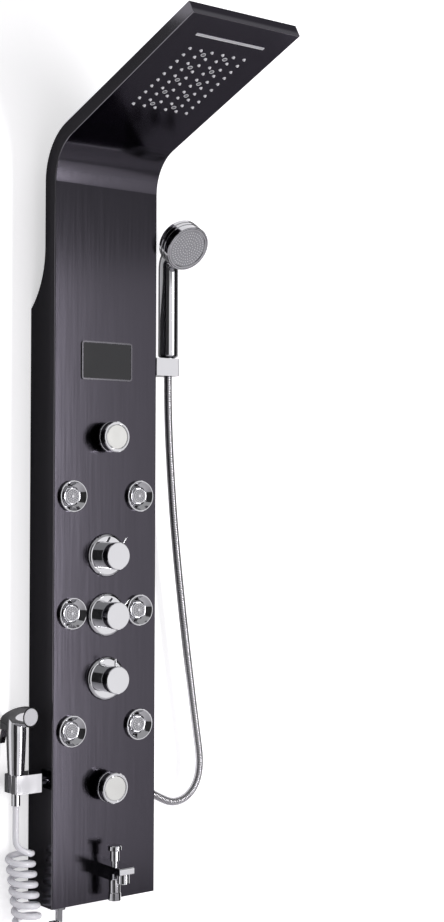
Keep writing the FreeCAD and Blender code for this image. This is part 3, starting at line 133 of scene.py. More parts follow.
def around_column(azimuth, away):
    """Place on the floor plan, at a distance from the column's axis: away (sin a, -cos a), with the
    azimuth a in degrees from straight ahead to the right."""
    turn = math.radians(azimuth)
    return math.sin(turn) * away, -math.cos(turn) * away


def soft_lamp(name, azimuth, wide, low, high, radiance, away=LAMP_AWAY):
    """Rectangular soft lamp, wide in degrees, that faces the column's axis; watts = radiance pi area."""
    lamp = bpy.data.lights.new(name, "AREA")
    lamp.shape = "RECTANGLE"
    lamp.size = 2 * away * math.tan(math.radians(wide / 2))
    lamp.size_y = high - low
    lamp.energy = radiance * math.pi * lamp.size * lamp.size_y
    lamp.color = LAMP_COLOUR
    holder = bpy.data.objects.new(name, lamp)
    bpy.context.scene.collection.objects.link(holder)
    place = Vector((*around_column(azimuth, away), (low + high) / 2))
    facing = (Vector((0, 0, place.z)) - place).to_track_quat("-Z", "Y")
    holder.matrix_world = Matrix.Translation(place) @ facing.to_matrix().to_4x4()


wall_corners = [(-STAGE_REACH, WALL_Y, FLOOR_Z), (STAGE_REACH, WALL_Y, FLOOR_Z),
                (STAGE_REACH, WALL_Y, STAGE_REACH), (-STAGE_REACH, WALL_Y, STAGE_REACH)]
floor_corners = [(-STAGE_REACH, -2 * STAGE_REACH, FLOOR_Z), (STAGE_REACH, -2 * STAGE_REACH, FLOOR_Z),
                 (STAGE_REACH, WALL_Y, FLOOR_Z), (-STAGE_REACH, WALL_Y, FLOOR_Z)]
stage_sheet("wall", wall_corners, WALL_COLOUR, WALL_GLOW)
stage_sheet("floor", floor_corners, FLOOR_COLOUR)
for name, (first, last, grey) in FLAGS.items():
    edges = around_column(first, FLAG_AWAY), around_column(last, FLAG_AWAY)
    reflected_sheet(name, *edges, FLAG_FOOT, FLAG_TOP, grey)
for name, (first, last, low, high, grey) in CARDS.items():
    reflected_sheet(name, (first, CARD_Y), (last, CARD_Y), low, high, grey)
soft_lamp("lamp_front", azimuth=-2.0, wide=38, low=-1.53, high=0.46, radiance=0.8)
soft_lamp("lamp_main", azimuth=24.2, wide=4.6, low=LAMP_FOOT, high=LAMP_TOP, radiance=21.0,
          away=LAMP_AWAY + LAMP_MAIN_BEHIND)
soft_lamp("lamp_side", azimuth=33.5, wide=13.6, low=LAMP_FOOT, high=LAMP_TOP, radiance=0.86)

world = bpy.data.worlds.new("studio_air")
bpy.context.scene.world = world
world.use_nodes = True
world.node_tree.nodes["Background"].inputs["Color"].default_value = (*AIR_COLOUR, 1)
world.node_tree.nodes["Background"].inputs["Strength"].default_value = AIR_LIGHT


# ---- camera ----
# Stands left of the column and ahead of it, level with its middle, and looks slightly up. Its place in
# metres, its turn in radians and its focal length in pixels were fitted to the photograph together.
PHOTO_HEIGHT = 922
FOCAL_PIXELS = 1580.3
SENSOR = 36.0
CAMERA_PLACE = (-1.4399, -2.2288, -0.2243)
CAMERA_YAW = 0.662
CAMERA_PITCH = 0.0157
CAMERA_ROLL = 0.0037

ahead = Vector((math.sin(CAMERA_YAW) * math.cos(CAMERA_PITCH), math.cos(CAMERA_YAW) * math.cos(CAMERA_PITCH),
                math.sin(CAMERA_PITCH)))
level_right = Vector((math.cos(CAMERA_YAW), -math.sin(CAMERA_YAW), 0))
level_up = level_right.cross(ahead)
right = level_right * math.cos(CAMERA_ROLL) + level_up * math.sin(CAMERA_ROLL)
up = level_up * math.cos(CAMERA_ROLL) - level_right * math.sin(CAMERA_ROLL)
lens = bpy.data.cameras.new("camera")
lens.sensor_width = SENSOR
lens.lens = FOCAL_PIXELS * SENSOR / PHOTO_HEIGHT
camera = bpy.data.objects.new("camera", lens)
bpy.context.scene.collection.objects.link(camera)
turn = Matrix((right, up, -ahead)).transposed().to_4x4()
camera.matrix_world = Matrix.Translation(CAMERA_PLACE) @ turn
bpy.context.scene.camera = camera
bpy.context.scene.view_settings.view_transform = "Standard"


# ---- housing ----
# Folded stainless sheet with a black plated coat, polished until it mirrors the fittings softly and
# brushed along its length. The base colour is painted lighter along the folds, a painted highlight on top of
# the light that the rounded folds really catch.
MM = 0.001
BRACKET_Z = 900.0
COLUMN_HALF = 0.1
# band along each fold that is painted lighter as a highlight: its width, and the outer share of it at full
# lightness
FOLD_WIDTH = 0.0017
FOLD_HIGHLIGHT_SHARE = 0.4
BRUSHED = (40, 40, 1)
ARM_ANGLE = math.radians(20.4)
ARM_ROOT = np.array((0, -73.0, 1212.6))
ARM_LENGTH = 391.0
ALONG_ARM = np.array((0, -math.cos(ARM_ANGLE), math.sin(ARM_ANGLE)))


def placed(points):
    """Points in millimetres above the column's lower edge, moved to the frame and its metres."""
    return (np.asarray(points, float) - (0, 0, BRACKET_Z)) * MM


def uneven_finish():
    """Node group: soft noise on the object's own place gives a value between Low and High, and a bump."""
    group = bpy.data.node_groups.new("uneven_finish", "ShaderNodeTree")
    for label, kind, default in (("Scale", "NodeSocketFloat", 60.0), ("Low", "NodeSocketFloat", 0.1),
                                 ("High", "NodeSocketFloat", 0.2), ("Stretch", "NodeSocketVector", (1, 1, 1)),
                                 ("Depth", "NodeSocketFloat", 0.1)):
        socket = group.interface.new_socket(label, in_out="INPUT", socket_type=kind)
        socket.default_value = default
    group.interface.new_socket("Value", in_out="OUTPUT", socket_type="NodeSocketFloat")
    group.interface.new_socket("Normal", in_out="OUTPUT", socket_type="NodeSocketVector")
    given = group.nodes.new("NodeGroupInput")
    result = group.nodes.new("NodeGroupOutput")
    place = group.nodes.new("ShaderNodeTexCoord")
    stretched = group.nodes.new("ShaderNodeVectorMath")
    stretched.operation = "MULTIPLY"
    noise = group.nodes.new("ShaderNodeTexNoise")
    noise.inputs["Detail"].default_value = 4.0
    spread = group.nodes.new("ShaderNodeMapRange")
    spread.inputs["From Min"].default_value = 0.3
    spread.inputs["From Max"].default_value = 0.7
    bump = group.nodes.new("ShaderNodeBump")
    bump.inputs["Distance"].default_value = 0.0001
    link = group.links.new
    link(place.outputs["Object"], stretched.inputs[0])
    link(given.outputs["Stretch"], stretched.inputs[1])
    link(stretched.outputs[0], noise.inputs["Vector"])
    link(given.outputs["Scale"], noise.inputs["Scale"])
    link(noise.outputs["Fac"], spread.inputs["Value"])
    link(given.outputs["Low"], spread.inputs["To Min"])
    link(given.outputs["High"], spread.inputs["To Max"])
    link(given.outputs["Depth"], bump.inputs["Strength"])
    link(noise.outputs["Fac"], bump.inputs["Height"])
    link(spread.outputs["Result"], result.inputs["Value"])
    link(bump.outputs["Normal"], result.inputs["Normal"])
    return group


UNEVEN = uneven_finish()


def uneven(tree, shader, scale, low, high, stretch=(1, 1, 1), depth=0.1):
    """Place the shared uneven finish in a material and feed its roughness and normal."""
    effect = tree.nodes.new("ShaderNodeGroup")
    effect.node_tree = UNEVEN
    given = {"Scale": scale, "Low": low, "High": high, "Stretch": stretch, "Depth": depth}
    for label, value in given.items():
        effect.inputs[label].default_value = value
    tree.links.new(effect.outputs["Value"], shader.inputs["Roughness"])
    tree.links.new(effect.outputs["Normal"], shader.inputs["Normal"])


def dress(material, *names):
    """Give CAD nodes a material in their own slots."""
    for name in names:
        node = nodes[name]
        if not node.material_slots:
            node.data.materials.append(material)
        for held in node.material_slots:
            held.material = material


def fold_highlight_mask(tree, distance, edge):
    """Smooth step from 0, a fold's width short of the edge, to 1 on the outer share of it, where a painted
    highlight lightens the base colour.
    """
    fold = tree.nodes.new("ShaderNodeMapRange")
    fold.interpolation_type = "SMOOTHSTEP"
    fold.inputs["From Min"].default_value = edge - FOLD_WIDTH
    fold.inputs["From Max"].default_value = edge - FOLD_WIDTH * FOLD_HIGHLIGHT_SHARE
    tree.links.new(distance, fold.inputs["Value"])
    return fold.outputs["Result"]


housing_finish, tree, shader = new_material("black_steel")
shader.inputs["Metallic"].default_value = 1.0
shader.inputs["Specular Tint"].default_value = (0.55, 0.53, 0.58, 1)
uneven(tree, shader, scale=9.0, low=0.13, high=0.175, stretch=BRUSHED, depth=0.015)
place = tree.nodes.new("ShaderNodeTexCoord")
across = tree.nodes.new("ShaderNodeSeparateXYZ")
outward = tree.nodes.new("ShaderNodeMath")
outward.operation = "ABSOLUTE"
along = tree.nodes.new("ShaderNodeVectorMath")
along.operation = "DOT_PRODUCT"
along.inputs[1].default_value = ALONG_ARM
arm_end = float(ALONG_ARM @ placed(ARM_ROOT)) + ARM_LENGTH * MM
# the coat's dark colour (A), painted lighter (B) along the folds as a painted highlight
coat = tree.nodes.new("ShaderNodeMix")
coat.data_type = "RGBA"
coat.inputs["A"].default_value = (0.051, 0.0475, 0.0575, 1)
coat.inputs["B"].default_value = (0.15, 0.145, 0.16, 1)
tree.links.new(place.outputs["Object"], across.inputs[0])
tree.links.new(across.outputs["X"], outward.inputs[0])
tree.links.new(place.outputs["Object"], along.inputs[0])
side_fold_highlight = fold_highlight_mask(tree, outward.outputs[0], COLUMN_HALF)
end_fold_highlight = fold_highlight_mask(tree, along.outputs["Value"], arm_end)
tree.links.new(greater(tree, side_fold_highlight, end_fold_highlight), coat.inputs["Factor"])
tree.links.new(coat.outputs["Result"], shader.inputs["Base Color"])
dress(housing_finish, "column_shell", "arm_top_cover")


# ---- wall brackets and hanger rails ----
# Pressed steel strip with a bright zinc coat, whose crystals show as faint cells. The brackets are
# screwed to the wall, and the rails across the column's open back hang on their hooks.
zinc_finish, tree, shader = new_material("zinc_plate")
shader.inputs["Metallic"].default_value = 1.0
uneven(tree, shader, scale=30.0, low=0.28, high=0.42)
place = tree.nodes.new("ShaderNodeTexCoord")
crystals = tree.nodes.new("ShaderNodeTexVoronoi")
crystals.inputs["Scale"].default_value = 160.0
shade = tree.nodes.new("ShaderNodeMapRange")
shade.inputs["To Min"].default_value = 0.46
shade.inputs["To Max"].default_value = 0.66
tree.links.new(place.outputs["Object"], crystals.inputs["Vector"])
tree.links.new(crystals.outputs["Color"], shade.inputs["Value"])
tree.links.new(shade.outputs["Result"], shader.inputs["Base Color"])
dress(zinc_finish, "upper_wall_bracket", "lower_wall_bracket", "hanger_rails")


# ---- rain head ----
# Sixty soft silicone nozzles stand through the underside of the arm. Each is a collar, a tapering
# stub and a fine hole in its tip. They are moulded on one mat that seals the water chamber.
OFF_ARM = np.array((0, -math.sin(ARM_ANGLE), -math.cos(ARM_ANGLE)))
NOZZLE_COLUMNS, NOZZLE_ROWS = 6, 10
NOZZLE_PITCH_X, NOZZLE_PITCH_ARM = 20.4, 17.3
HEAD_CENTRE = 234.9
# an outline's points are its radius and its height off the surface
NOZZLE_PROFILE = [(0, -0.2), (2.7, -0.2), (2.7, 0.25), (2.45, 0.45), (2.1, 0.5), (1.95, 1.1), (1.6, 2.05),
                  (1.4, 2.3), (0.85, 2.3), (0.7, 2.15), (0.6, 1.2), (0, 1.2)]
WELD = 2e-7


def grid_faces(rows, columns):
    """Quads between neighbours of a grid that is numbered row by row. The last column joins the first."""
    i, j = np.meshgrid(np.arange(rows - 1), np.arange(columns), indexing="ij")
    row, next_row = i * columns, (i + 1) * columns
    beside = (j + 1) % columns
    quads = np.stack([row + j, row + beside, next_row + beside, next_row + j], -1)
    return quads.reshape(-1, 4)


def piece_from(name, points, quads, crease):
    """Closed, outward facing mesh object from points and quads, smooth but for edges past the crease."""
    mesh = bpy.data.meshes.new(name)
    mesh.from_pydata(np.asarray(points).reshape(-1, 3).tolist(), [], quads.tolist())
    shape = bmesh.new()
    shape.from_mesh(mesh)
    bmesh.ops.remove_doubles(shape, verts=shape.verts, dist=WELD)
    open_edges = [edge for edge in shape.edges if edge.is_boundary]
    bmesh.ops.holes_fill(shape, edges=open_edges, sides=0)
    bmesh.ops.recalc_face_normals(shape, faces=shape.faces)
    shape.to_mesh(mesh)
    shape.free()
    mesh.shade_smooth()
    mesh.set_sharp_from_angle(angle=math.radians(crease))
    piece = bpy.data.objects.new(name, mesh)
    bpy.context.scene.collection.objects.link(piece)
    return piece


def square_to(axis):
    """A unit axis, and two directions square to it and to each other, for an axis that isn't along x."""
    axis = np.asarray(axis, float) / np.linalg.norm(axis)
    side = np.cross(axis, (1, 0, 0))
    side /= np.linalg.norm(side)
    return axis, side, np.cross(axis, side)


def turned(name, profile, centres, axis, sides, crease=40.0):
    """Turned pieces, one per centre: centre + height axis + radius (cos a side + sin a normal)."""
    profile, centres = np.asarray(profile, float), np.asarray(centres, float).reshape(-1, 3)
    axis, side, normal = square_to(axis)
    angle = np.linspace(0, 2 * np.pi, sides, endpoint=False)[:, None]
    spoke = np.cos(angle) * side + np.sin(angle) * normal
    one = profile[:, 1, None, None] * axis + profile[:, 0, None, None] * spoke
    points = centres[:, None, None] + one
    first_corner = np.arange(len(centres))[:, None, None] * len(profile) * sides
    quads = grid_faces(len(profile), sides) + first_corner
    return piece_from(name, placed(points), quads.reshape(-1, 4), crease)


def on_arm(x, along):
    """Places on the arm's underside: its root + x across + along the arm."""
    across = np.asarray(x)[..., None] * np.array((1, 0, 0))
    return ARM_ROOT + across + np.asarray(along)[..., None] * ALONG_ARM


def moulded(name, colour, low, high, grain=700.0, depth=0.35):
    """Moulded plastic with the fine spark grain of its tool."""
    material, tree, shader = new_material(name)
    shader.inputs["Base Color"].default_value = (*colour, 1)
    uneven(tree, shader, grain, low, high, depth=depth)
    return material


nozzle_x = (np.arange(NOZZLE_COLUMNS) - (NOZZLE_COLUMNS - 1) / 2) * NOZZLE_PITCH_X
nozzle_along = HEAD_CENTRE + (np.arange(NOZZLE_ROWS) - (NOZZLE_ROWS - 1) / 2) * NOZZLE_PITCH_ARM
nozzle_grid = np.meshgrid(nozzle_x, nozzle_along)
nozzles = turned("rain_nozzles_soft", NOZZLE_PROFILE, on_arm(*nozzle_grid), OFF_ARM, sides=14)
silicone_finish, tree, shader = new_material("silicone")
shader.inputs["Base Color"].default_value = (0.72, 0.72, 0.74, 1)
shader.inputs["Subsurface Weight"].default_value = 0.3
shader.inputs["Subsurface Radius"].default_value = (0.002, 0.002, 0.002)
uneven(tree, shader, scale=900.0, low=0.38, high=0.55, depth=0.15)
nozzles.data.materials.append(silicone_finish)
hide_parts("rain_nozzles")
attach(nozzles, "column")
inner_finish = moulded("inner_plastic", (0.60, 0.60, 0.61), low=0.38, high=0.5)
dress(inner_finish, "rain_chamber")


# ---- lights of the rain head ----
# Ten lamps between the nozzles: a clear domed lens in a turned and plated ring, and the board that
# carries their diodes behind the water chamber.
LENS_ROWS = 5
LENS_DOME = [(0, -0.2), (3.15, -0.2), (3.15, 0.1), (2.8, 0.45), (2.0, 0.8), (1.0, 1.0), (0, 1.05)]
LENS_RING = [(3.15, -0.2), (4.0, -0.2), (4.0, 0.45), (3.8, 0.8), (3.45, 0.85), (3.2, 0.7), (3.15, -0.2)]


def plated_steel(name, colour, low, high, scale=35.0, depth=0.02, metallic=1.0):
    """Metal with a slightly uneven polish."""
    material, tree, shader = new_material(name)
    shader.inputs["Base Color"].default_value = (*colour, 1)
    shader.inputs["Metallic"].default_value = metallic
    uneven(tree, shader, scale, low, high, depth=depth)
    return material


lens_along = HEAD_CENTRE + (np.arange(LENS_ROWS) - (LENS_ROWS - 1) / 2) * 2 * NOZZLE_PITCH_ARM
lens_grid = np.meshgrid((-NOZZLE_PITCH_X, NOZZLE_PITCH_X), lens_along)
lenses = turned("led_domes", LENS_DOME, on_arm(*lens_grid), OFF_ARM, sides=20, crease=60)
lens_finish, tree, shader = new_material("led_lens")
shader.inputs["Base Color"].default_value = (0.30, 0.31, 0.33, 1)
shader.inputs["Transmission Weight"].default_value = 0.55
shader.inputs["IOR"].default_value = 1.49
uneven(tree, shader, scale=60.0, low=0.05, high=0.1, depth=0.0)
lenses.data.materials.append(lens_finish)
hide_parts("led_lenses")
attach(lenses, "column")

lens_rings = turned("led_rings", LENS_RING, on_arm(*lens_grid), OFF_ARM, sides=24)
bright_finish = plated_steel("bright_steel", (0.82, 0.82, 0.84), low=0.3, high=0.4, scale=60.0, metallic=0.55)
lens_rings.data.materials.append(bright_finish)
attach(lens_rings, "column")

board_finish, tree, shader = new_material("circuit_board")
place = tree.nodes.new("ShaderNodeTexCoord")
tracks = tree.nodes.new("ShaderNodeTexBrick")
tracks.inputs["Scale"].default_value = 70.0
tracks.inputs["Mortar Size"].default_value = 0.08
tracks.inputs["Color1"].default_value = (0.012, 0.09, 0.035, 1)
tracks.inputs["Color2"].default_value = (0.016, 0.11, 0.045, 1)
tracks.inputs["Mortar"].default_value = (0.03, 0.19, 0.08, 1)
tree.links.new(place.outputs["Object"], tracks.inputs["Vector"])
tree.links.new(tracks.outputs["Color"], shader.inputs["Base Color"])
uneven(tree, shader, scale=80.0, low=0.3, high=0.45)
dress(board_finish, "led_board")


# ---- waterfall outlet ----
# Bright steel lip round a slot across the arm, near its end. The water sheet leaves between its
# walls, fed by a moulded chamber.
dress(bright_finish, "waterfall_lip")
dress(inner_finish, "waterfall_chamber")


# ---- display ----
# Dark acrylic window with rounded corners in a thin satin frame, flush in the column's face. Its
# moulded module sits behind the sheet.
dress(plated_steel("display_frame", (0.075, 0.073, 0.08), low=0.18, high=0.28), "display_bezel")
display_glass_finish, tree, shader = new_material("display_glass")
shader.inputs["Base Color"].default_value = (0.004, 0.004, 0.006, 1)
shader.inputs["IOR"].default_value = 1.43
uneven(tree, shader, scale=20.0, low=0.06, high=0.11, depth=0.0)
dress(display_glass_finish, "display_glass")
dress(inner_finish, "display_module")


# ---- body jets ----
# Turned and plated bowl with a swivelling ball in it. The ball's front carries a grey spray plate
# with two rings of soft nubs round a bright button.
OUT_OF_FACE = (0, -1, 0)
JET_X = 65.2
JET_HEIGHTS = (658.2, 469.4, 280.6)
JET_FRONT_Y = -75.0
JET_PLATE_RISE = 0.45
JET_PLATE = [(2.6, -0.2), (11.0, -0.2), (11.0, 0.2), (10.6, JET_PLATE_RISE), (3.0, JET_PLATE_RISE),
             (2.6, 0.25), (2.6, -0.2)]
NUB_PROFILE = [(0, -0.3), (0.85, -0.3), (0.85, 0.25), (0.7, 0.65), (0.35, 0.8), (0, 0.82)]
# radius of each ring of nubs, and how many it has
JET_NUB_RINGS = [(5.0, 8), (8.6, 14)]


def ring_places(centre, axis, rings):
    """Places on rings round a centre: centre + radius (cos a side + sin a normal), evenly in a."""
    _, side, normal = square_to(axis)
    radius = np.concatenate([np.full(count, r) for r, count in rings])[:, None]
    angle = np.concatenate([np.arange(count) * 2 * np.pi / count for _, count in rings])[:, None]
    return np.asarray(centre, float) + radius * (np.cos(angle) * side + np.sin(angle) * normal)


def nubs(name, centre, axis, rings, body):
    """Rings of soft spray nubs on a plate, as one piece."""
    piece = turned(name, NUB_PROFILE, ring_places(centre, axis, rings), axis, sides=8, crease=50)
    piece.data.materials.append(silicone_finish)
    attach(piece, body)


chrome_finish = plated_steel("chrome", (0.52, 0.52, 0.535), low=0.03, high=0.075)
spray_plate_finish = moulded("spray_face", (0.22, 0.22, 0.235), low=0.3, high=0.42)
jet_places = [(x, height) for height in JET_HEIGHTS for x in (-JET_X, JET_X)]
for number, (x, height) in enumerate(jet_places, start=1):
    plate = turned("jet_plate_%d" % number, JET_PLATE, (x, JET_FRONT_Y, height), OUT_OF_FACE, sides=32)
    plate.data.materials.append(spray_plate_finish)
    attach(plate, "jet_%d" % number)
    nub_centre = (x, JET_FRONT_Y - JET_PLATE_RISE, height)
    nubs("jet_nubs_%d" % number, nub_centre, OUT_OF_FACE, JET_NUB_RINGS, "jet_%d" % number)
    dress(chrome_finish, "jet_nozzle_%d" % number)
dress(chrome_finish, "jet_rims")
dress(inner_finish, "jet_bodies")


# ---- water ways inside the column ----
# Cast and turned brass: the supply manifold, valve bodies, inlets and lock nuts. Bent pipes lead to
# the jets and up to the rain head.
brass_finish = plated_steel("brass", (0.62, 0.43, 0.19), low=0.24, high=0.4, scale=120.0, depth=0.2)
pipe_finish = moulded("water_pipe", (0.70, 0.70, 0.68), low=0.3, high=0.42, grain=200.0, depth=0.1)
dress(brass_finish, "supply_manifold", "hot_inlet", "cold_inlet", "valve_bodies", "jet_nuts", "spout_nut")
dress(pipe_finish, "jet_pipes", "riser_pipe")


# ---- valves with cylinder knobs ----
# Flat round flange and sleeve, turned in one and plated, with a plain cylinder knob that has one
# round pin as its handle.
for number in range(1, 4):
    dress(chrome_finish, "valve_flange_%d" % number, "valve_knob_%d" % number)


# ---- dial knobs ----
# Plated drum on the plated stem of its valve. A pale satin disc is let into its face, inside a fine
# groove.
DIAL_HEIGHTS = {"upper_dial": 754.5, "lower_dial": 186.4}
DIAL_FRONT_Y = -105.0
DIAL_DISC = [(0, -0.2), (20.4, -0.2), (20.4, -0.1), (19.0, 0.45), (0, 0.45)]
satin_finish = plated_steel("dial", (0.51, 0.512, 0.495), low=0.09, high=0.12, scale=50.0)
dress(chrome_finish, "dial_valves")
for name, height in DIAL_HEIGHTS.items():
    dress(chrome_finish, name)
    disc_centre = (0, DIAL_FRONT_Y, height)
    disc = turned(name + "_disc", DIAL_DISC, disc_centre, OUT_OF_FACE, sides=64, crease=12)
    disc.data.materials.append(satin_finish)
    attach(disc, name)


# ---- tub spout ----
# Square plated bar with a round outlet below it, a threaded tail for a hose and a lift knob on top.
# The aerator's insert is a honeycomb of grey plastic.
AERATOR_PLACE = (0, -128.0, 39.6)
AERATOR_INSERT = [(0, -0.6), (7.9, -0.6), (7.9, 0.4), (7.3, 0.7), (0, 0.7)]
dress(chrome_finish, "spout_body", "spout_outlet", "spout_aerator", "spout_diverter")
mesh_finish, tree, shader = new_material("aerator_mesh")
shader.inputs["Base Color"].default_value = (0.30, 0.30, 0.32, 1)
uneven(tree, shader, scale=500.0, low=0.35, high=0.5)
place = tree.nodes.new("ShaderNodeTexCoord")
cells = tree.nodes.new("ShaderNodeTexVoronoi")
cells.feature = "DISTANCE_TO_EDGE"
cells.inputs["Scale"].default_value = 650.0
cells.inputs["Randomness"].default_value = 0.15
relief = tree.nodes.new("ShaderNodeBump")
relief.inputs["Distance"].default_value = 0.0006
tree.links.new(place.outputs["Object"], cells.inputs["Vector"])
tree.links.new(cells.outputs["Distance"], relief.inputs["Height"])
tree.links.new(relief.outputs["Normal"], shader.inputs["Normal"])
insert = turned("aerator_insert", AERATOR_INSERT, AERATOR_PLACE, (0, 0, -1), sides=32)
insert.data.materials.append(mesh_finish)
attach(insert, "column")


# ---- clips on the flanks ----
# Square plated blocks with a tapered bore and an open side. Each is on a short stem that passes
# through the column's flank.
dress(chrome_finish, "right_clip", "left_clip", "clip_stems")


# ---- hand shower ----
# Plated handle and drum head. A grey spray plate with rings of soft nubs lies inside a double ring.
# Its hose leads from the nut below the handle to a bent outlet on the column's right flank.
HAND_FACE = (147.5, -95.3, 1075.4)
HAND_FACE_RISE = 0.6
HAND_TILT = math.radians(32.6)
HAND_NUB_RINGS = [(4.5, 6), (9.5, 13), (14.5, 20), (19.5, 27), (24.5, 34), (29.2, 40)]
hand_axis = np.array((0, -math.cos(HAND_TILT), -math.sin(HAND_TILT)))
hand_nub_centre = np.array(HAND_FACE) + hand_axis * HAND_FACE_RISE
hand_plate_finish = moulded("hand_plate", (0.25, 0.25, 0.265), low=0.25, high=0.36)
dress(chrome_finish, "hand_shower_handle", "hand_shower_head", "hand_shower_ring", "hand_shower_nut",
      "hose_outlet")
dress(hand_plate_finish, "hand_shower_face")
nubs("hand_shower_nubs", hand_nub_centre, hand_axis, HAND_NUB_RINGS, "hand_shower")


# ---- hand shower's hose ----
# Stretch hose of interlocked, plated steel strip round a rubber core. It hangs from the nut in the
# right clip and swings up into the outlet on the column's right flank.
HOSE_R = 7.0
HOSE_PITCH = 3.0
HOSE_GROOVE = 0.75
RIB_FLATNESS = 0.55
RINGS_PER_RIB = 7
HOSE_SIDES = 24
HOSE_OUTLET = (100.0, -38.0, 165.3)
HOSE_OUTLET_TILT = 30.0
HOSE_OUTLET_REACH = 22.0
HOSE_LAST_STRAIGHT = 16.8
HOSE_TOP = (147.5, -40.5, 862.0)
HOSE_POINTS = [(147.5, -40.5, 806.0), (153.0, -40.5, 708.0), (163.6, -40.0, 590.0), (182.4, -39.5, 446.0),
               (201.6, -39.0, 320.0), (213.0, -38.5, 250.0), (222.0, -38.0, 197.0), (214.0, -38.0, 160.0),
               (191.5, -38.0, 138.0), (162.0, -38.0, 132.8)]


def route_curve(name, points):
    """Open order 3 NURBS spline with these control points, which it leaves and ends at."""
    curve = bpy.data.curves.new(name, "CURVE")
    curve.dimensions = "3D"
    curve.resolution_u = 24
    spline = curve.splines.new("NURBS")
    spline.points.add(len(points) - 1)
    homogeneous = np.ones((len(points), 4))
    homogeneous[:, :3] = points
    spline.points.foreach_set("co", homogeneous.ravel())
    spline.order_u = 3
    spline.use_endpoint_u = True
    return bpy.data.objects.new(name, curve)


def line_of(route):
    """The points of a curve's own line, read from the curve while it has no bevel."""
    mesh = bpy.data.meshes.new_from_object(route)
    line = np.zeros(len(mesh.vertices) * 3)
    mesh.vertices.foreach_get("co", line)
    bpy.data.meshes.remove(mesh)
    return line.reshape(-1, 3)


def steps_of(line):
    """Lengths of the steps between a line's neighbouring points."""
    return np.linalg.norm(np.diff(line, axis=0), axis=1)


def evenly(line, count):
    """Points at equal steps along a line, with the heading at each, from its running length."""
    run = np.concatenate(([0], np.cumsum(steps_of(line))))
    at = np.linspace(0, run[-1], count)
    points = np.stack([np.interp(at, run, line[:, k]) for k in range(3)], axis=1)
    heading = np.gradient(points, axis=0)
    return points, heading / np.linalg.norm(heading, axis=1)[:, None]


def tube_along(points, heading, radii, sides, side_axis):
    """Rings square to the heading at each point: centre + r (cos a side + sin a normal)."""
    side = np.cross(heading, side_axis)
    side /= np.linalg.norm(side, axis=1)[:, None]
    normal = np.cross(heading, side)
    angle = np.linspace(0, 2 * np.pi, sides, endpoint=False)[None, :, None]
    ring = np.cos(angle) * side[:, None] + np.sin(angle) * normal[:, None]
    return points[:, None] + ring * np.asarray(radii)[:, None, None]


tilt = math.radians(HOSE_OUTLET_TILT)
outlet_axis = np.array((math.cos(tilt), 0, -math.sin(tilt)))
hose_end = np.array(HOSE_OUTLET) + outlet_axis * HOSE_OUTLET_REACH
before_end = hose_end + outlet_axis * HOSE_LAST_STRAIGHT
hose_route = route_curve("hose_route", placed([HOSE_TOP] + HOSE_POINTS + [before_end, hose_end]))
hose_line = line_of(hose_route)
hose_length = steps_of(hose_line).sum()
hose_ribs = int(round(hose_length / (HOSE_PITCH * MM)))
hose_path, hose_heading = evenly(hose_line, hose_ribs * RINGS_PER_RIB + 1)
# a rib's radius at a share p of its pitch: full - groove (1 - |sin(pi p)| ^ flatness)
share = np.arange(len(hose_path)) / RINGS_PER_RIB
hose_radii = (HOSE_R - HOSE_GROOVE * (1 - np.abs(np.sin(np.pi * share)) ** RIB_FLATNESS)) * MM
hose_rings = tube_along(hose_path, hose_heading, hose_radii, HOSE_SIDES, (0, 1, 0))
hose = piece_from("steel_hose", hose_rings, grid_faces(len(hose_path), HOSE_SIDES), crease=80)
steel_hose_finish = plated_steel("steel_hose", (0.50, 0.495, 0.51), low=0.09, high=0.16, scale=90.0)
hose.data.materials.append(steel_hose_finish)
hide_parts("shower_hose")
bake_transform(hose)


# ---- trigger sprayer ----
# Plated die casting with a thumb lever behind it, which turns on a pin, and a pale face with fine
# spray nubs. Its hose leads to an elbow under the column's foot.
SPRAYER_AXIS_PLACE = np.array((-147.5, -40.5, 310.0))
SPRAYER_YAW = math.radians(8.0)
SPRAYER_FACE_OUT = 37.4
SPRAYER_NUB_RINGS = [(0.01, 1), (3.6, 6), (7.2, 12), (10.6, 18)]
spray_axis = np.array((math.sin(SPRAYER_YAW), -math.cos(SPRAYER_YAW), 0))
sprayer_nub_centre = SPRAYER_AXIS_PLACE + spray_axis * SPRAYER_FACE_OUT
pale_face_finish = moulded("pale_face", (0.55, 0.55, 0.57), low=0.3, high=0.42)
dress(chrome_finish, "sprayer_body", "sprayer_trigger", "trigger_pin", "sprayer_nut", "sprayer_outlet")
dress(pale_face_finish, "sprayer_face")
nubs("sprayer_nubs", sprayer_nub_centre, spray_axis, SPRAYER_NUB_RINGS, "sprayer")


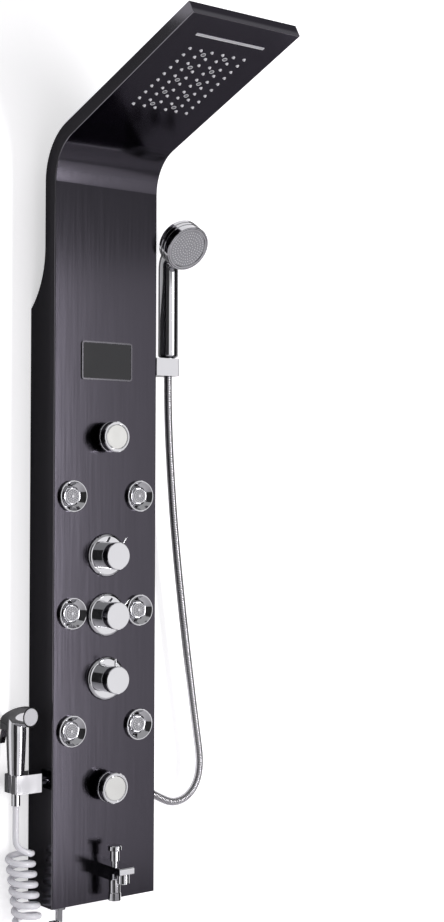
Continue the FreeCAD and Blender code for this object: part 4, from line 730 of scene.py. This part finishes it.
# ---- coiled hose of the sprayer ----
# White polyurethane tube wound as a spring: a straight lead out of the nut's sleeve, seven close
# turns, and a short straight end in the elbow under the column.
COIL_TUBE_R = 5.0
COIL_R = 19.5
COIL_CURLS = 7
COIL_STEPS = 16
COIL_TOP = (-140.5, -40.5, 92.0)
COIL_BOTTOM = (-124.5, -40.5, -26.0)
COIL_LEAD = [(-147.5, -40.5, 166.0), (-147.5, -40.5, 146.0), (-149.5, -43.5, 122.0), (-154.0, -52.5, 103.0)]
COIL_END = (-94.0, -60.0, -29.0)


def coil_turns():
    """Control points of the curls: top + t drop + r (cos a, sin a, 0) with a = 2 pi t - pi / 2, after t
    curls. r is the coil's radius / sqrt(cos(pi / steps)), as the line runs inside its control points."""
    curls = np.arange(1, COIL_CURLS * COIL_STEPS - 1)[:, None] / COIL_STEPS
    angle = 2 * np.pi * curls - np.pi / 2
    drop = (np.array(COIL_BOTTOM) - COIL_TOP) / COIL_CURLS
    around = np.hstack([np.cos(angle), np.sin(angle), 0 * angle])
    return np.array(COIL_TOP) + curls * drop + around * (COIL_R / math.cos(math.pi / COIL_STEPS) ** 0.5)


coil_ends = [(COIL_END[0] - 2 * COIL_TUBE_R, COIL_END[1], COIL_END[2]), COIL_END]
coil_route = route_curve("coil_route", placed(np.concatenate([COIL_LEAD, coil_turns(), coil_ends])))
coil_line = line_of(coil_route)
coil_route.data.bevel_depth = COIL_TUBE_R * MM
coil_route.data.bevel_resolution = 6
coil_route.data.resolution_u = 4
coil_route.data.use_fill_caps = True
coil_mesh = bpy.data.meshes.new_from_object(coil_route)
coil_mesh.shade_smooth()
coil = bpy.data.objects.new("white_hose", coil_mesh)
bpy.context.scene.collection.objects.link(coil)
white_hose_finish, tree, shader = new_material("white_hose")
shader.inputs["Base Color"].default_value = (0.76, 0.755, 0.79, 1)
shader.inputs["Subsurface Weight"].default_value = 0.25
shader.inputs["Subsurface Radius"].default_value = (0.004, 0.0035, 0.0035)
shader.inputs["Coat Weight"].default_value = 0.3
uneven(tree, shader, scale=40.0, low=0.22, high=0.34, depth=0.02)
coil_mesh.materials.clear()
coil_mesh.materials.append(white_hose_finish)
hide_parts("coil_hose")
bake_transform(coil)
